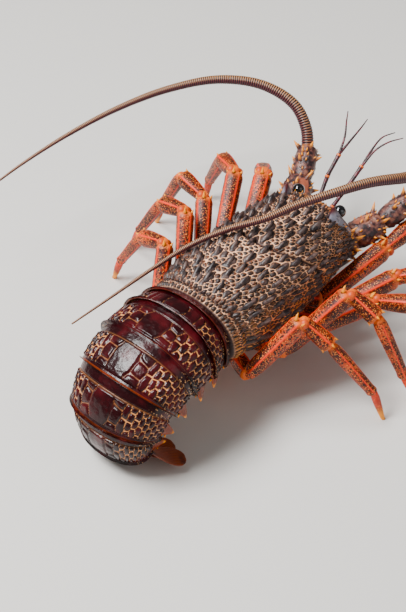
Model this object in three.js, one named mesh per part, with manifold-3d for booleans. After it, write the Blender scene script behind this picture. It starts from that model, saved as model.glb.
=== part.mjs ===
// A spiny rock lobster at life size, standing on its ten feet with the tail curled under it.
// Millimetres, +Z up. The animal faces -Y, so its right side is on -X, and z = 0 is the floor.
import * as THREE from "three";
import { mergeVertices } from "three/addons/utils/BufferGeometryUtils.js";
import Module from "manifold-3d";

const wasm = await Module();
wasm.setup();

// Driving dimensions.
const CARAPACE_LENGTH = 130;
const AXIS_HEIGHT = 60; // the carapace's axis over the floor
const ABDOMEN_LENGTH = 104; // along the body's axis, from the carapace to the tail fan
const FAN_LENGTH = 44;
const FLAGELLUM_ROOT_RADIUS = 4.4;
const FLAGELLUM_TIP_RADIUS = 0.55;
const CONTACT_GAP = 0.32; // left between pieces that touch
const ORIGIN_SHIFT = { forward: 58.9, right: -26.5 }; // the middle of the whole animal's box

// Body coordinates: forward from the carapace's rear edge, towards the right side, up from the floor.
const at = (forward, right, up) =>
  new THREE.Vector3(ORIGIN_SHIFT.right - right, ORIGIN_SHIFT.forward - forward, up);
const SIDEWAYS = new THREE.Vector3(-1, 0, 0); // towards the animal's right
const UP = new THREE.Vector3(0, 0, 1);
const radians = THREE.MathUtils.degToRad;

// Smooth reading of a table of rows that start with their place along it.
function readTable(table, place) {
  let k = 0;
  while (k < table.length - 2 && table[k + 1][0] < place) k++;
  const [a, b] = [table[k], table[k + 1]];
  const before = table[k - 1] ?? a;
  const after = table[k + 2] ?? b;
  const span = b[0] - a[0];
  const t = THREE.MathUtils.clamp((place - a[0]) / span, 0, 1);
  return a.slice(1).map((va, i) => {
    const vb = b[i + 1];
    const slopeA = ((vb - before[i + 1]) / (b[0] - before[0])) * span;
    const slopeB = ((after[i + 1] - va) / (after[0] - a[0])) * span;
    return (
      va * (2 * t ** 3 - 3 * t ** 2 + 1) + slopeA * (t ** 3 - 2 * t ** 2 + t) +
      vb * (3 * t ** 2 - 2 * t ** 3) + slopeB * (t ** 3 - t ** 2)
    );
  });
}

// A repeatable run of numbers from 0 to 1.
function seeded(seed) {
  let state = seed;
  return () => {
    state = (state * 1664525 + 1013904223) % 4294967296;
    return state / 4294967296;
  };
}

const bulge = (x, power) => Math.sign(x) * Math.abs(x) ** power;

// A closed three.js geometry as a manifold-3d solid, faces out.
function solidOf(geometry) {
  const bare = geometry.clone();
  bare.deleteAttribute("normal");
  bare.deleteAttribute("uv");
  const merged = mergeVertices(bare, 1e-4);
  const triVerts = new Uint32Array(merged.index.array);
  const vertProperties = merged.attributes.position.array;
  const make = () => new wasm.Manifold(new wasm.Mesh({ numProp: 3, vertProperties, triVerts }));
  const made = make();
  if (made.volume() > 0) return made;
  for (let i = 0; i < triVerts.length; i += 3) {
    [triVerts[i + 1], triVerts[i + 2]] = [triVerts[i + 2], triVerts[i + 1]];
  }
  return make();
}

function geometryOf(solid) {
  const mesh = solid.getMesh();
  const points = new Float32Array(mesh.numVert * 3);
  for (let i = 0; i < mesh.numVert; i++) {
    points.set(mesh.vertProperties.subarray(i * mesh.numProp, i * mesh.numProp + 3), i * 3);
  }
  const geometry = new THREE.BufferGeometry();
  geometry.setAttribute("position", new THREE.BufferAttribute(points, 3));
  geometry.setIndex(new THREE.BufferAttribute(mesh.triVerts, 1));
  geometry.computeVertexNormals();
  return geometry;
}

const union = (solids) => solids.reduce((whole, piece) => whole.add(piece));
const without = (solid, cutters) => cutters.reduce((left, cutter) => left.subtract(cutter), solid);
const largestBody = (solid) =>
  solid.decompose().reduce((best, body) => (body.volume() > best.volume() ? body : best));

// A capped cylinder whose rings are laid out by place(ring, angle, radius 0 or 1).
function loft(rings, sides, place) {
  const geometry = new THREE.CylinderGeometry(1, 1, 1, sides, rings - 1);
  const position = geometry.attributes.position;
  for (let i = 0; i < position.count; i++) {
    const ring = Math.round((position.getY(i) + 0.5) * (rings - 1));
    const radius = Math.hypot(position.getX(i), position.getZ(i));
    const angle = radius > 0.5 ? Math.atan2(position.getX(i), position.getZ(i)) : 0;
    const p = place(ring, angle, radius > 0.5 ? 1 : 0);
    position.setXYZ(i, p.x, p.y, p.z);
  }
  return solidOf(geometry);
}

// The length, direction, depth direction and breadth direction of a straight segment.
function frameOf(from, to, up = UP) {
  const along = to.clone().sub(from);
  const length = along.length();
  along.normalize();
  const deep = up.clone().addScaledVector(along, -up.dot(along)).normalize();
  return { from, length, along, deep, broad: along.clone().cross(deep) };
}

// A straight limb segment. Each row is its share of the length, half its breadth and half its depth.
// The segment bows by bend away from its depth direction, and power below 1 squares its section.
function limb(from, to, rows, { up = UP, sides = 8, grow = 0, power = 1, bend = 0 } = {}) {
  const { length, along, deep, broad } = frameOf(from, to, up);
  return loft(rows.length, sides, (ring, angle, radius) => {
    const [share, breadth, depth] = rows[ring];
    const overrun = ring === 0 ? -grow : ring === rows.length - 1 ? grow : 0;
    return from
      .clone()
      .addScaledVector(along, share * length + overrun)
      .addScaledVector(broad, bulge(Math.sin(angle), power) * radius * (breadth + grow))
      .addScaledVector(deep, bulge(Math.cos(angle), power) * radius * (depth + grow))
      .addScaledVector(deep, -4 * bend * share * (1 - share));
  });
}

// A curved tube through the points, with its radius read along it.
function tube(points, radiusAt, { sides = 8, steps = 24, grow = 0, from = 0, to = 1 } = {}) {
  const curve = new THREE.CatmullRomCurve3(points, false, "centripetal");
  const frames = curve.computeFrenetFrames(steps * 2);
  return loft(steps + 1, sides, (ring, angle, radius) => {
    const t = from + ((to - from) * ring) / steps;
    const frame = Math.round(t * steps * 2);
    const r = (radiusAt(t) + grow) * radius;
    return curve
      .getPointAt(t)
      .addScaledVector(frames.normals[frame], Math.cos(angle) * r)
      .addScaledVector(frames.binormals[frame], Math.sin(angle) * r);
  });
}

// A straight spine with its root sunk below the skin.
function spine(root, tip, radius, { sides = 4, sink = 2, grow = 0 } = {}) {
  const along = tip.clone().sub(root);
  const scale = 1 + (1.5 * grow) / radius;
  const length = (along.length() + sink) * scale;
  const geometry = new THREE.ConeGeometry(radius * scale, length, sides);
  geometry.translate(0, length / 2 - sink, 0);
  geometry.applyQuaternion(
    new THREE.Quaternion().setFromUnitVectors(new THREE.Vector3(0, 1, 0), along.normalize()),
  );
  geometry.translate(root.x, root.y, root.z);
  return solidOf(geometry);
}

// Spines on a straight limb. Each is its share of the length, its angle round the limb from the
// depth direction, its length and how far it leans towards the limb's far end.
function limbSpines(frame, rows, spines, radius, grow = 0) {
  return spines.map(([share, degrees, height, lean]) => {
    const [breadth, depth] = readTable(rows, share);
    const angle = radians(degrees);
    const out = frame.broad
      .clone()
      .multiplyScalar(Math.sin(angle))
      .addScaledVector(frame.deep, Math.cos(angle));
    const root = frame.from
      .clone()
      .addScaledVector(frame.along, share * frame.length)
      .addScaledVector(frame.broad, Math.sin(angle) * breadth * 0.93)
      .addScaledVector(frame.deep, Math.cos(angle) * depth * 0.93);
    const tip = root
      .clone()
      .addScaledVector(out, height)
      .addScaledVector(frame.along, lean);
    return spine(root, tip, radius, { grow });
  });
}

// The carapace: share of its length from the rear edge, half width, height over and depth under the axis.
const CARAPACE = [
  [0, 34, 28, 17],
  [0.03, 36.5, 30.5, 19],
  [0.2, 41, 32.5, 23],
  [0.42, 42, 33.5, 25],
  [0.62, 41, 32.5, 25],
  [0.8, 38.5, 29.5, 23],
  [0.92, 37, 27.5, 19],
  [0.99, 34.5, 25, 15],
  [1.03, 29, 20.5, 11],
  [1.045, 21, 15, 8],
];
const CARAPACE_RINGS = [
  0, 0.03, 0.055, 0.08, 0.16, 0.26, 0.36, 0.45, 0.475, 0.5, 0.525, 0.56, 0.66, 0.76, 0.85, 0.92,
  0.97, 1.02, 1.045,
];
const CERVICAL_GROOVE = { place: 0.5, slant: 0.2, depth: 1.8, width: 0.014 };
const REAR_GROOVE = { place: 0.055, depth: 1.7, width: 0.014 };
const SHELL_POWER = 0.92;

const dip = (groove, place) => groove.depth * Math.exp(-(((place - groove.place) / groove.width) ** 2));

// A point of the carapace; angle 0 is the middle of the back and a positive angle is on the right side.
function carapacePoint(place, angle, grow = 0) {
  const slant = CERVICAL_GROOVE.slant * Math.sin(angle) ** 2 * 4 * place * (1 - place);
  const where = place <= 1 ? place + Math.max(slant, 0) : place;
  const [half, over, under] = readTable(CARAPACE, where);
  const inset = dip(CERVICAL_GROOVE, place) + dip(REAR_GROOVE, place) - grow;
  const height = Math.cos(angle) > 0 ? over : under;
  return {
    forward: where * CARAPACE_LENGTH,
    right: bulge(Math.sin(angle), SHELL_POWER) * (half - inset),
    up: AXIS_HEIGHT + bulge(Math.cos(angle), SHELL_POWER) * (height - inset),
  };
}

function carapaceShell(grow = 0) {
  const last = CARAPACE_RINGS.length - 1;
  return loft(CARAPACE_RINGS.length, 24, (ring, angle, radius) => {
    const p = carapacePoint(CARAPACE_RINGS[ring], angle, grow);
    const overrun = ring === 0 ? -grow : ring === last ? grow : 0;
    return radius
      ? at(p.forward + overrun, p.right, p.up)
      : at(CARAPACE_RINGS[ring] * CARAPACE_LENGTH + overrun, 0, AXIS_HEIGHT);
  });
}

// The spines that edge the front of the carapace: forward, right and up of root and tip, and radius.
const FRONT_SPINES = [
  [[126, 0, 76], [143, 0, 83], 3.2],
  [[122, 31, 64], [144, 37.5, 66], 4],
  [[113, 36, 57], [125, 41, 58], 2.6],
];

const shellPoint = (place, angle) => {
  const p = carapacePoint(place, angle);
  return at(p.forward, p.right, p.up);
};

// The shell's scales: low points that lean forwards, in staggered rows over the back and sides.
const SCALES = {
  firstPlace: 0.125, placeStep: 0.085, rows: 10, angleStep: radians(15), perSide: 6,
  length: 9.5, breadth: 4.4, height: 2.5, sink: 1.5, lean: 0.42, spread: 0.18,
};
const SPINY_ROW = { angle: radians(24), from: 0.6, length: 9, breadth: 5.5, height: 6 };

function shellScale(place, angle, { length, breadth, height }, size, grow) {
  const scale = size * (1 + (3 * grow) / breadth);
  const point = shellPoint(place, angle);
  const ahead = shellPoint(place + 0.01, angle).sub(point).normalize();
  const across = shellPoint(place, angle + 0.02).sub(point).normalize();
  const out = ahead.clone().cross(across).normalize();
  if (out.dot(point.clone().sub(at(place * CARAPACE_LENGTH, 0, AXIS_HEIGHT))) < 0) out.negate();
  const geometry = new THREE.ConeGeometry(1, 1, 5);
  const position = geometry.attributes.position;
  for (let i = 0; i < position.count; i++) {
    const rise = position.getY(i) + 0.5;
    const p = point
      .clone()
      .addScaledVector(ahead, (position.getX(i) / 2 + rise * SCALES.lean) * length * scale)
      .addScaledVector(across, (position.getZ(i) / 2) * breadth * scale)
      .addScaledVector(out, rise * (height + SCALES.sink) * scale - SCALES.sink);
    position.setXYZ(i, p.x, p.y, p.z);
  }
  return solidOf(geometry);
}

function shellScales(grow = 0) {
  const random = seeded(7);
  const scales = [];
  for (let row = 0; row < SCALES.rows; row++) {
    const place = SCALES.firstPlace + row * SCALES.placeStep;
    if (Math.abs(place - CERVICAL_GROOVE.place) < 0.03) continue;
    const stagger = (row % 2) / 2;
    for (let k = -SCALES.perSide; k <= SCALES.perSide - 2 * stagger; k++) {
      const angle = (k + stagger) * SCALES.angleStep;
      const spiny = place > SPINY_ROW.from && Math.abs(Math.abs(angle) - SPINY_ROW.angle) < 0.13;
      const size = 1 + (random() - 0.5) * 2 * SCALES.spread;
      scales.push(shellScale(place, angle, spiny ? SPINY_ROW : SCALES, size, grow));
    }
  }
  return scales;
}

function frontSpines(grow = 0) {
  return FRONT_SPINES.flatMap(([root, tip, radius]) =>
    (root[1] ? [1, -1] : [1]).map((side) => {
      const [base, end] = [root, tip].map(([f, r, u]) => at(f, r * side, u));
      return spine(base, end, radius, { sides: 5, sink: 4, grow });
    }),
  );
}

function sternum(grow = 0) {
  const rows = [[0, 20, 6], [0.08, 25, 8], [0.5, 22, 8], [0.85, 13, 8], [1, 8, 6]];
  return limb(at(6, 0, 37), at(112, 0, 39), rows, { sides: 8, grow, power: 0.8 });
}

// The abdomen's axis in the plane of symmetry. Rows: distance along it, pitch down from level.
const TAIL_PITCH = [
  [0, -8], [14, -6], [34, 4], [54, 24], [74, 53], [92, 80], [104, 104], [114, 130], [124, 156],
  [134, 168], [148, 176],
];
const TAIL_START = { forward: 0, up: AXIS_HEIGHT + 2 };
const TAIL_STEP = 0.5;
const tailAxis = [{ ...TAIL_START, pitch: radians(TAIL_PITCH[0][1]) }];
for (let s = TAIL_STEP; s <= 160; s += TAIL_STEP) {
  const last = tailAxis.at(-1);
  const pitch = radians(readTable(TAIL_PITCH, Math.min(s, 148))[0]);
  tailAxis.push({
    forward: last.forward - Math.cos(pitch) * TAIL_STEP,
    up: last.up - Math.sin(pitch) * TAIL_STEP,
    pitch,
  });
}

// A point near the abdomen: distance along its axis, to the right, and out towards its back.
function tailPoint(along, right, out) {
  const index = THREE.MathUtils.clamp(along / TAIL_STEP, 0, tailAxis.length - 2);
  const a = tailAxis[Math.floor(index)];
  const b = tailAxis[Math.floor(index) + 1];
  const t = index - Math.floor(index);
  const pitch = THREE.MathUtils.lerp(a.pitch, b.pitch, t);
  const spill = along < 0 ? along : 0;
  return at(
    THREE.MathUtils.lerp(a.forward, b.forward, t) - Math.cos(pitch) * spill - Math.sin(pitch) * out,
    right,
    THREE.MathUtils.lerp(a.up, b.up, t) - Math.sin(pitch) * spill + Math.cos(pitch) * out,
  );
}

// The six tail segments: distance along the axis of each joint, and the section at each place.
const SOMITE_ENDS = [0, 9, 22, 42, 63, 84, ABDOMEN_LENGTH];
const TAIL_SECTION = [
  [0, 33, 25.5, 9],
  [9, 36.5, 27.5, 10],
  [22, 38.5, 28, 10],
  [42, 38.5, 27, 10],
  [63, 36.5, 25, 9.5],
  [84, 32.5, 21, 8.5],
  [104, 26, 13.5, 7],
];
const SOMITE_FLARE = 1.1; // how far a segment's rear edge stands over the next one
const SOMITE_TUCK = 3; // how far a segment's front reaches under the one before

// A point of a tail segment's skin: share of its length, angle from the middle of the back, lift off it.
function somitePoint(index, share, angle, lift = 0, radius = 1) {
  const [start, end] = [SOMITE_ENDS[index], SOMITE_ENDS[index + 1]];
  const along = start + (end - start) * share;
  const [half, over, under] = readTable(TAIL_SECTION, Math.max(along, 0));
  const flare = THREE.MathUtils.clamp(share, -0.2, 1) * SOMITE_FLARE - SOMITE_FLARE / 2 + lift;
  const upper = Math.cos(angle) > 0;
  return tailPoint(
    along,
    bulge(Math.sin(angle), 0.9) * (half + flare) * radius,
    bulge(Math.cos(angle), upper ? 0.95 : 0.5) * ((upper ? over : under) + flare) * radius,
  );
}

function somite(index, grow = 0) {
  const span = SOMITE_ENDS[index + 1] - SOMITE_ENDS[index];
  const shares = [(-SOMITE_TUCK - grow) / span, 0.2, 0.6, 1 + grow / span];
  return loft(shares.length, 16, (ring, angle, radius) =>
    somitePoint(index, shares[ring], angle, grow, radius),
  );
}

// The raised plates across the back of a tail segment.
const PLATES = {
  perSide: 3, share: 0.62, length: 0.46, angleStep: radians(25), fill: 0.78, height: 0.9, sink: 1.1,
};

function tailPlates(index, grow = 0) {
  const plates = [];
  for (let k = -PLATES.perSide; k <= PLATES.perSide; k++) {
    const geometry = new THREE.CylinderGeometry(1.05, 1.35, 1, 4).rotateY(Math.PI / 4);
    const position = geometry.attributes.position;
    for (let i = 0; i < position.count; i++) {
      const rise = position.getY(i) + 0.5;
      const p = somitePoint(
        index,
        PLATES.share + (position.getX(i) / 2) * (PLATES.length + grow * 0.1),
        (k + (position.getZ(i) / 2) * (PLATES.fill + grow * 0.1)) * PLATES.angleStep,
        rise * (PLATES.height + PLATES.sink + grow) - PLATES.sink,
      );
      position.setXYZ(i, p.x, p.y, p.z);
    }
    plates.push(solidOf(geometry));
  }
  return plates;
}

// A pleuron: the pointed flap at each lower side of a tail segment.
const PLEURON = { length: 15, halfBreadth: 5.2, halfThickness: 1.7 };

function pleuron(index, side, grow = 0) {
  const middle = SOMITE_ENDS[index] + (SOMITE_ENDS[index + 1] - SOMITE_ENDS[index]) * 0.55;
  const [half] = readTable(TAIL_SECTION, middle);
  const small = index === 0 ? 0.6 : 1;
  const reach = PLEURON.length * small;
  const root = tailPoint(middle, side * (half - 3.5), 1);
  const tip = tailPoint(middle + reach * 0.45, side * (half + 1), -reach);
  const normal = SIDEWAYS.clone().multiplyScalar(side);
  const { halfBreadth: b, halfThickness: t } = PLEURON;
  const rows = [
    [0, b * small, t * 1.5],
    [0.45, b * 0.8 * small, t],
    [0.8, b * 0.4 * small, t * 0.7],
    [1, 0.6, 0.5],
  ];
  return limb(root, tip, rows, { up: normal, sides: 6, grow });
}

const tailSegment = (index, grow = 0) =>
  union([
    somite(index, grow),
    pleuron(index, 1, grow),
    pleuron(index, -1, grow),
    ...(index > 0 ? tailPlates(index, grow) : []),
  ]);

// A blade of the tail fan, laid in the fan's own curved plane.
// Rows: share of the length, half width. Layer is how far it lies under the telson.
const BLADE_ROWS = [[0, 0.42], [0.15, 0.6], [0.4, 0.86], [0.65, 1], [0.85, 0.9], [0.96, 0.6], [1, 0.3]];
const FAN = {
  telson: { right: 0, angle: 0, length: FAN_LENGTH, halfWidth: 13.5, layer: 0.6 },
  inner: { right: 11, angle: 17, length: FAN_LENGTH - 3, halfWidth: 10.5, layer: -2 },
  outer: { right: 15.5, angle: 36, length: FAN_LENGTH - 4, halfWidth: 10.5, layer: -4.6 },
};
const BLADE_HALF_THICKNESS = 1;
const BLADE_SIDES = 12;
const RAY_RELIEF = 0.3; // how much thicker a blade is on a ray than between two
const FAN_ROOT = ABDOMEN_LENGTH - 2.5;

function blade({ right, angle, length, halfWidth, layer }, side, grow = 0) {
  const turn = radians(angle);
  return loft(BLADE_ROWS.length, BLADE_SIDES, (ring, around, radius) => {
    const [share, width] = BLADE_ROWS[ring];
    const overrun = ring === BLADE_ROWS.length - 1 ? grow : 0;
    const along = share * length + overrun;
    const across = Math.sin(around) * radius * (halfWidth * width + grow);
    const onRay = Math.round((around / (2 * Math.PI)) * BLADE_SIDES) % 2 === 0;
    const relief = onRay ? 1 + RAY_RELIEF : 1 - RAY_RELIEF;
    const thick = BLADE_HALF_THICKNESS * (1 - 0.4 * share) * (grow ? 1 : relief) + grow * 1.5;
    return tailPoint(
      FAN_ROOT + along * Math.cos(turn) - across * Math.sin(turn),
      side * (right + along * Math.sin(turn) + across * Math.cos(turn)),
      layer + Math.cos(around) * radius * thick,
    );
  });
}

// The supraorbital horns over the eyes. They are broad blades, set askew, that lean back a little.
const HORN = { root: [131, 24, 66], tip: [127, 20, 92.5], askew: radians(30), bend: 1.5 };
const HORN_ROWS = [[0, 5.8, 9.5], [0.3, 5, 8], [0.55, 3.9, 5.9], [0.8, 2.3, 3.3], [1, 0.5, 0.6]];

function horn(side, grow = 0) {
  const [root, tip] = [HORN.root, HORN.tip].map(([f, r, u]) => at(f, r * side, u));
  const up = at(Math.cos(HORN.askew), Math.sin(HORN.askew) * side, 0).sub(at(0, 0, 0));
  return limb(root, tip, HORN_ROWS, { up, sides: 8, grow, bend: HORN.bend });
}

// A stalked eye under each horn.
const EYE = { forward: 138, right: 18, up: 80, radius: 4.6 };

function eye(side, grow = 0) {
  const ball = new THREE.SphereGeometry(EYE.radius + grow, 9, 6);
  const centre = at(EYE.forward, EYE.right * side, EYE.up);
  ball.translate(centre.x, centre.y, centre.z);
  const rows = [[0, 2.6, 2.6], [0.7, 3.4, 3.4], [1, 3.6, 3.6]];
  return union([solidOf(ball), limb(at(126, 12 * side, 71), centre, rows, { sides: 7, grow })]);
}

// Each antenna has three heavy joints and a whip.
const ANTENNA_JOINTS = [[115, 18, 57], [143, 27, 57], [166, 36, 62], [187, 46, 75]];
const ANTENNA_SECTIONS = [
  [[0, 10, 10], [0.3, 12.2, 11.5], [0.8, 12.4, 11.2], [1, 10, 9.5]],
  [[0, 9, 8.6], [0.25, 10.8, 9.8], [0.8, 10.2, 9.4], [1, 8, 7.6]],
  [[0, 7, 6.6], [0.3, 8.4, 7.8], [0.8, 7.6, 7.2], [1, 6, 5.8]],
];

// Spines of each joint: share of its length, angle round it, height and lean.
const ANTENNA_SPINES = [
  [[0.72, 78, 6, 5], [0.8, 20, 6, 5], [0.85, -60, 5, 4], [0.75, 130, 5, 4]],
  [[0.5, 0, 5, 3], [0.85, 40, 7, 5], [0.85, -35, 7, 5], [0.6, 90, 6, 4], [0.85, 140, 6, 4],
    [0.7, -100, 6, 4]],
  [[0.45, 20, 5, 3], [0.85, 60, 6, 4], [0.85, -20, 6, 4], [0.6, -75, 5, 3], [0.8, 130, 5, 3],
    [0.8, -125, 5, 3]],
];
const ANTENNA_SPINE_RADIUS = 1.9;

function antennaJoint(index, side, grow = 0) {
  const [from, to] = [ANTENNA_JOINTS[index], ANTENNA_JOINTS[index + 1]].map(([f, r, u]) =>
    at(f, r * side, u),
  );
  const rows = ANTENNA_SECTIONS[index];
  const spines = ANTENNA_SPINES[index].map(([share, angle, ...rest]) => [share, angle * side, ...rest]);
  return union([
    limb(from, to, rows, { sides: 10, grow, power: 0.95 }),
    ...limbSpines(frameOf(from, to), rows, spines, ANTENNA_SPINE_RADIUS, grow),
  ]);
}

// The mouth frame, between the antennae and the sternum.
function mouth(grow = 0) {
  const rows = [[0, 15, 8], [0.5, 13, 8], [1, 8, 6]];
  return limb(at(106, 0, 42), at(134, 0, 50), rows, { sides: 8, grow, power: 0.85 });
}

// The right whip is folded back over the animal, and the left one sweeps out and back.
const WHIPS = {
  right: [
    [185, 45, 73], [188, 48, 86], [182, 50, 100], [163, 48, 110], [141, 38, 115], [117, 26, 115],
    [95, 12, 111], [76, 0, 105], [58, -18, 97], [38, -34, 87], [14, -46, 76], [-18, -56, 66],
    [-48, -63, 60],
  ],
  left: [
    [185, -45, 73], [191, -52, 86], [194, -66, 99], [188, -91, 108], [168, -117, 112],
    [138, -139, 110], [104, -157, 104], [66, -172, 95], [28, -184, 84], [-10, -193, 72],
  ],
};
const whipRadius = (t) =>
  FLAGELLUM_TIP_RADIUS + (FLAGELLUM_ROOT_RADIUS - FLAGELLUM_TIP_RADIUS) * (1 - t) ** 1.05;

function whip(name, from, to, grow = 0) {
  const points = WHIPS[name].map(([f, r, u]) => at(f, r, u));
  return tube(points, whipRadius, { sides: 6, steps: 14, grow, from, to });
}

// The antennules: a jointed stalk that forks into two short whips.
const ANTENNULE_JOINTS = [[128, 4.5, 66], [147, 6, 72], [160, 9, 84], [174, 10, 94]];
const ANTENNULE_WHIPS = [
  [[174, 10, 94], [184, 13, 103], [192, 18, 108], [202, 24, 109]],
  [[174, 10, 94], [186, 9, 100], [198, 9, 104], [210, 12, 103]],
];

function antennule(side, grow = 0) {
  const joints = ANTENNULE_JOINTS.map(([f, r, u]) => at(f, r * side, u));
  const rows = [[0, 2.1, 2.1], [0.15, 1.7, 1.7], [0.85, 1.7, 1.7], [1.04, 2.3, 2.3]];
  const stalk = joints.slice(0, 3).map((from, i) => limb(from, joints[i + 1], rows, { sides: 4, grow }));
  const forks = ANTENNULE_WHIPS.map((path) => {
    const points = path.map(([f, r, u]) => at(f, r * side, u));
    return tube(points, (t) => 1.1 - 0.75 * t, { sides: 4, steps: 4, grow });
  });
  return union([...stalk, ...forks]);
}

// The third maxillipeds, the leg-like mouthparts under the head.
const MAXILLIPED_JOINTS = [[100, 9, 34], [128, 12, 36], [147, 11, 29], [140, 7, 19]];

function maxilliped(side, grow = 0) {
  const joints = MAXILLIPED_JOINTS.map(([f, r, u]) => at(f, r * side, u));
  const rows = [[0, 4, 3.6], [0.3, 4.4, 4], [1.05, 3, 2.8]];
  const scaled = (share) => rows.map(([place, b, d]) => [place, b * share, d * share]);
  return union([
    limb(joints[0], joints[1], rows, { sides: 6, grow }),
    limb(joints[1], joints[2], scaled(0.72), { sides: 5, grow }),
    limb(joints[2], joints[3], scaled(0.5), { sides: 5, up: SIDEWAYS, grow }),
  ]);
}

// The legs, front to back: hip, knee and foot as forward, right and up, with the sizes of their parts.
const HIPS = [[84, 16, 37], [68, 18, 36], [52, 20, 36], [36, 22, 36], [18, 23, 36]];
const THIGH_ROOTS = [[97, 35, 35], [81, 45, 37], [62, 45, 36], [43, 46, 36], [10, 41, 36]];
const LEG_POSES = {
  right: [
    { knee: [154, 48.5, 52], foot: [210, 59], toeSlope: 74 },
    { knee: [133, 72.5, 54], foot: [168, 126], toeSlope: 74 },
    { knee: [102, 77, 57], foot: [119, 139], toeSlope: 70 },
    { knee: [81, 69, 75], foot: [89, 129], toeSlope: 54 },
    { knee: [43, 59, 72], foot: [63, 116], toeSlope: 70 },
  ],
  left: [
    { knee: [147, 56, 69], foot: [192, 93], toeSlope: 74 },
    { knee: [131, 70, 73], foot: [160, 122], toeSlope: 74 },
    { knee: [101, 74, 66], foot: [114, 133], toeSlope: 70 },
    { knee: [76, 70, 72], foot: [80, 129], toeSlope: 66 },
    { knee: [43, 60, 70], foot: [47, 116], toeSlope: 70 },
  ],
};
const LEG_SIZES = [
  { thigh: 6.8, wrist: 26, shank: 46, toe: 21 },
  { thigh: 6.4, wrist: 27, shank: 51, toe: 23 },
  { thigh: 6.2, wrist: 27, shank: 52, toe: 24 },
  { thigh: 6.1, wrist: 25, shank: 50, toe: 24 },
  { thigh: 5.8, wrist: 26, shank: 46, toe: 23 },
];
const TOE_TIP_HALF = 1.15;

// The joints of one leg. The wrist and ankle lie in the upright plane through knee and foot.
function legJoints(sideName, index) {
  const side = sideName === "right" ? 1 : -1;
  const pose = LEG_POSES[sideName][index];
  const size = LEG_SIZES[index];
  const knee = new THREE.Vector3(pose.knee[0], pose.knee[1] * side, pose.knee[2]);
  const foot = new THREE.Vector3(pose.foot[0], pose.foot[1] * side, 0);
  const outward = foot.clone().sub(knee).setZ(0);
  const reach = outward.length();
  outward.normalize();
  const ankleOut = reach - size.toe * Math.cos(radians(pose.toeSlope));
  const ankleUp = size.toe * Math.sin(radians(pose.toeSlope));
  const drop = knee.z - ankleUp;
  const direct = Math.min(Math.hypot(ankleOut, drop), size.wrist + size.shank - 0.2);
  const lift = Math.acos(
    (size.wrist ** 2 + direct ** 2 - size.shank ** 2) / (2 * size.wrist * direct),
  );
  const slope = Math.atan2(-drop, ankleOut) + lift;
  const wrist = knee
    .clone()
    .addScaledVector(outward, size.wrist * Math.cos(slope))
    .setZ(knee.z + size.wrist * Math.sin(slope));
  const ankle = knee.clone().addScaledVector(outward, ankleOut).setZ(ankleUp);
  const hip = HIPS[index];
  const root = THIGH_ROOTS[index];
  return [
    new THREE.Vector3(hip[0], hip[1] * side, hip[2]),
    new THREE.Vector3(root[0], root[1] * side, root[2]),
    knee, wrist, ankle, foot,
  ].map((p) => at(p.x, p.y, p.z));
}

const HIP_ROWS = [[0, 0.95, 0.95], [0.55, 1.05, 1.05], [1.1, 0.85, 0.85]];
const THIGH_ROWS = [
  [-0.04, 0.6, 0.6], [0.08, 0.82, 0.9], [0.5, 0.95, 1.02], [0.88, 1, 1.08], [1, 0.82, 0.85],
];
const WRIST_ROWS = [[-0.1, 0.5, 0.5], [0.12, 0.7, 0.72], [0.8, 0.98, 0.96], [1, 0.75, 0.75]];
const SHANK_ROWS = [[-0.04, 0.5, 0.5], [0.1, 0.68, 0.72], [0.7, 0.6, 0.62], [1, 0.5, 0.5]];
const TOE_ROWS = [[-0.08, 0.4, 0.42], [0.15, 0.46, 0.5], [0.6, 0.34, 0.38]];
const KNEE_SPINES = [[0.96, 0, 3.5, 4.5]];
const WRIST_SPINES = [[0.9, 35, 1.8, 3]];
const sized = (rows, size) => rows.map(([share, b, d]) => [share, b * size, d * size]);

function thigh(sideName, index, grow = 0) {
  const [hip, root, knee] = legJoints(sideName, index);
  const size = LEG_SIZES[index].thigh;
  const rows = sized(THIGH_ROWS, size);
  return union([
    limb(hip, root, sized(HIP_ROWS, size), { sides: 6, grow }),
    limb(root, knee, rows, { sides: 8, grow, power: 0.85 }),
    ...limbSpines(frameOf(root, knee), rows, KNEE_SPINES, 1.6, grow),
  ]);
}

function shin(sideName, index, grow = 0) {
  const [, , knee, wrist, ankle, foot] = legJoints(sideName, index);
  const size = LEG_SIZES[index].thigh;
  const below = foot.clone().add(foot.clone().sub(ankle).multiplyScalar(0.12));
  const toeRows = [...sized(TOE_ROWS, size), [1, TOE_TIP_HALF, TOE_TIP_HALF]];
  return union([
    limb(knee, wrist, sized(WRIST_ROWS, size), { sides: 6, power: 0.9, grow }),
    ...limbSpines(frameOf(knee, wrist), sized(WRIST_ROWS, size), WRIST_SPINES, 1.5, grow),
    limb(wrist, ankle, sized(SHANK_ROWS, size), { sides: 6, power: 0.9, grow }),
    limb(ankle, below, toeRows, { sides: 5, grow }),
  ]);
}

const underFloor = new THREE.BoxGeometry(900, 900, 40);
underFloor.translate(0, 0, -20);
const UNDER_FLOOR = solidOf(underFloor);

// Swimmerets: leaf-like flaps that hang under the tail, one pair on each of the segments 2 to 5.
const SWIMMERETS = [
  { place: 14, length: 19 }, { place: 32, length: 18 }, { place: 52, length: 15 },
  { place: 73, length: 12 },
];

function swimmeret({ place, length }, side, grow = 0) {
  const root = tailPoint(place, side * 17, -6);
  const tip = tailPoint(place + length * 0.25, side * 14, -10 - length);
  const rows = [[0, 2.4, 1.6], [0.25, 4.6, 1.3], [0.6, 5.6, 1.1], [0.88, 4, 0.8], [1, 1.6, 0.5]];
  const along = tailPoint(place + 5, 0, 0).sub(tailPoint(place, 0, 0)).normalize();
  return limb(root, tip, rows, { up: along, sides: 6, grow });
}

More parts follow.
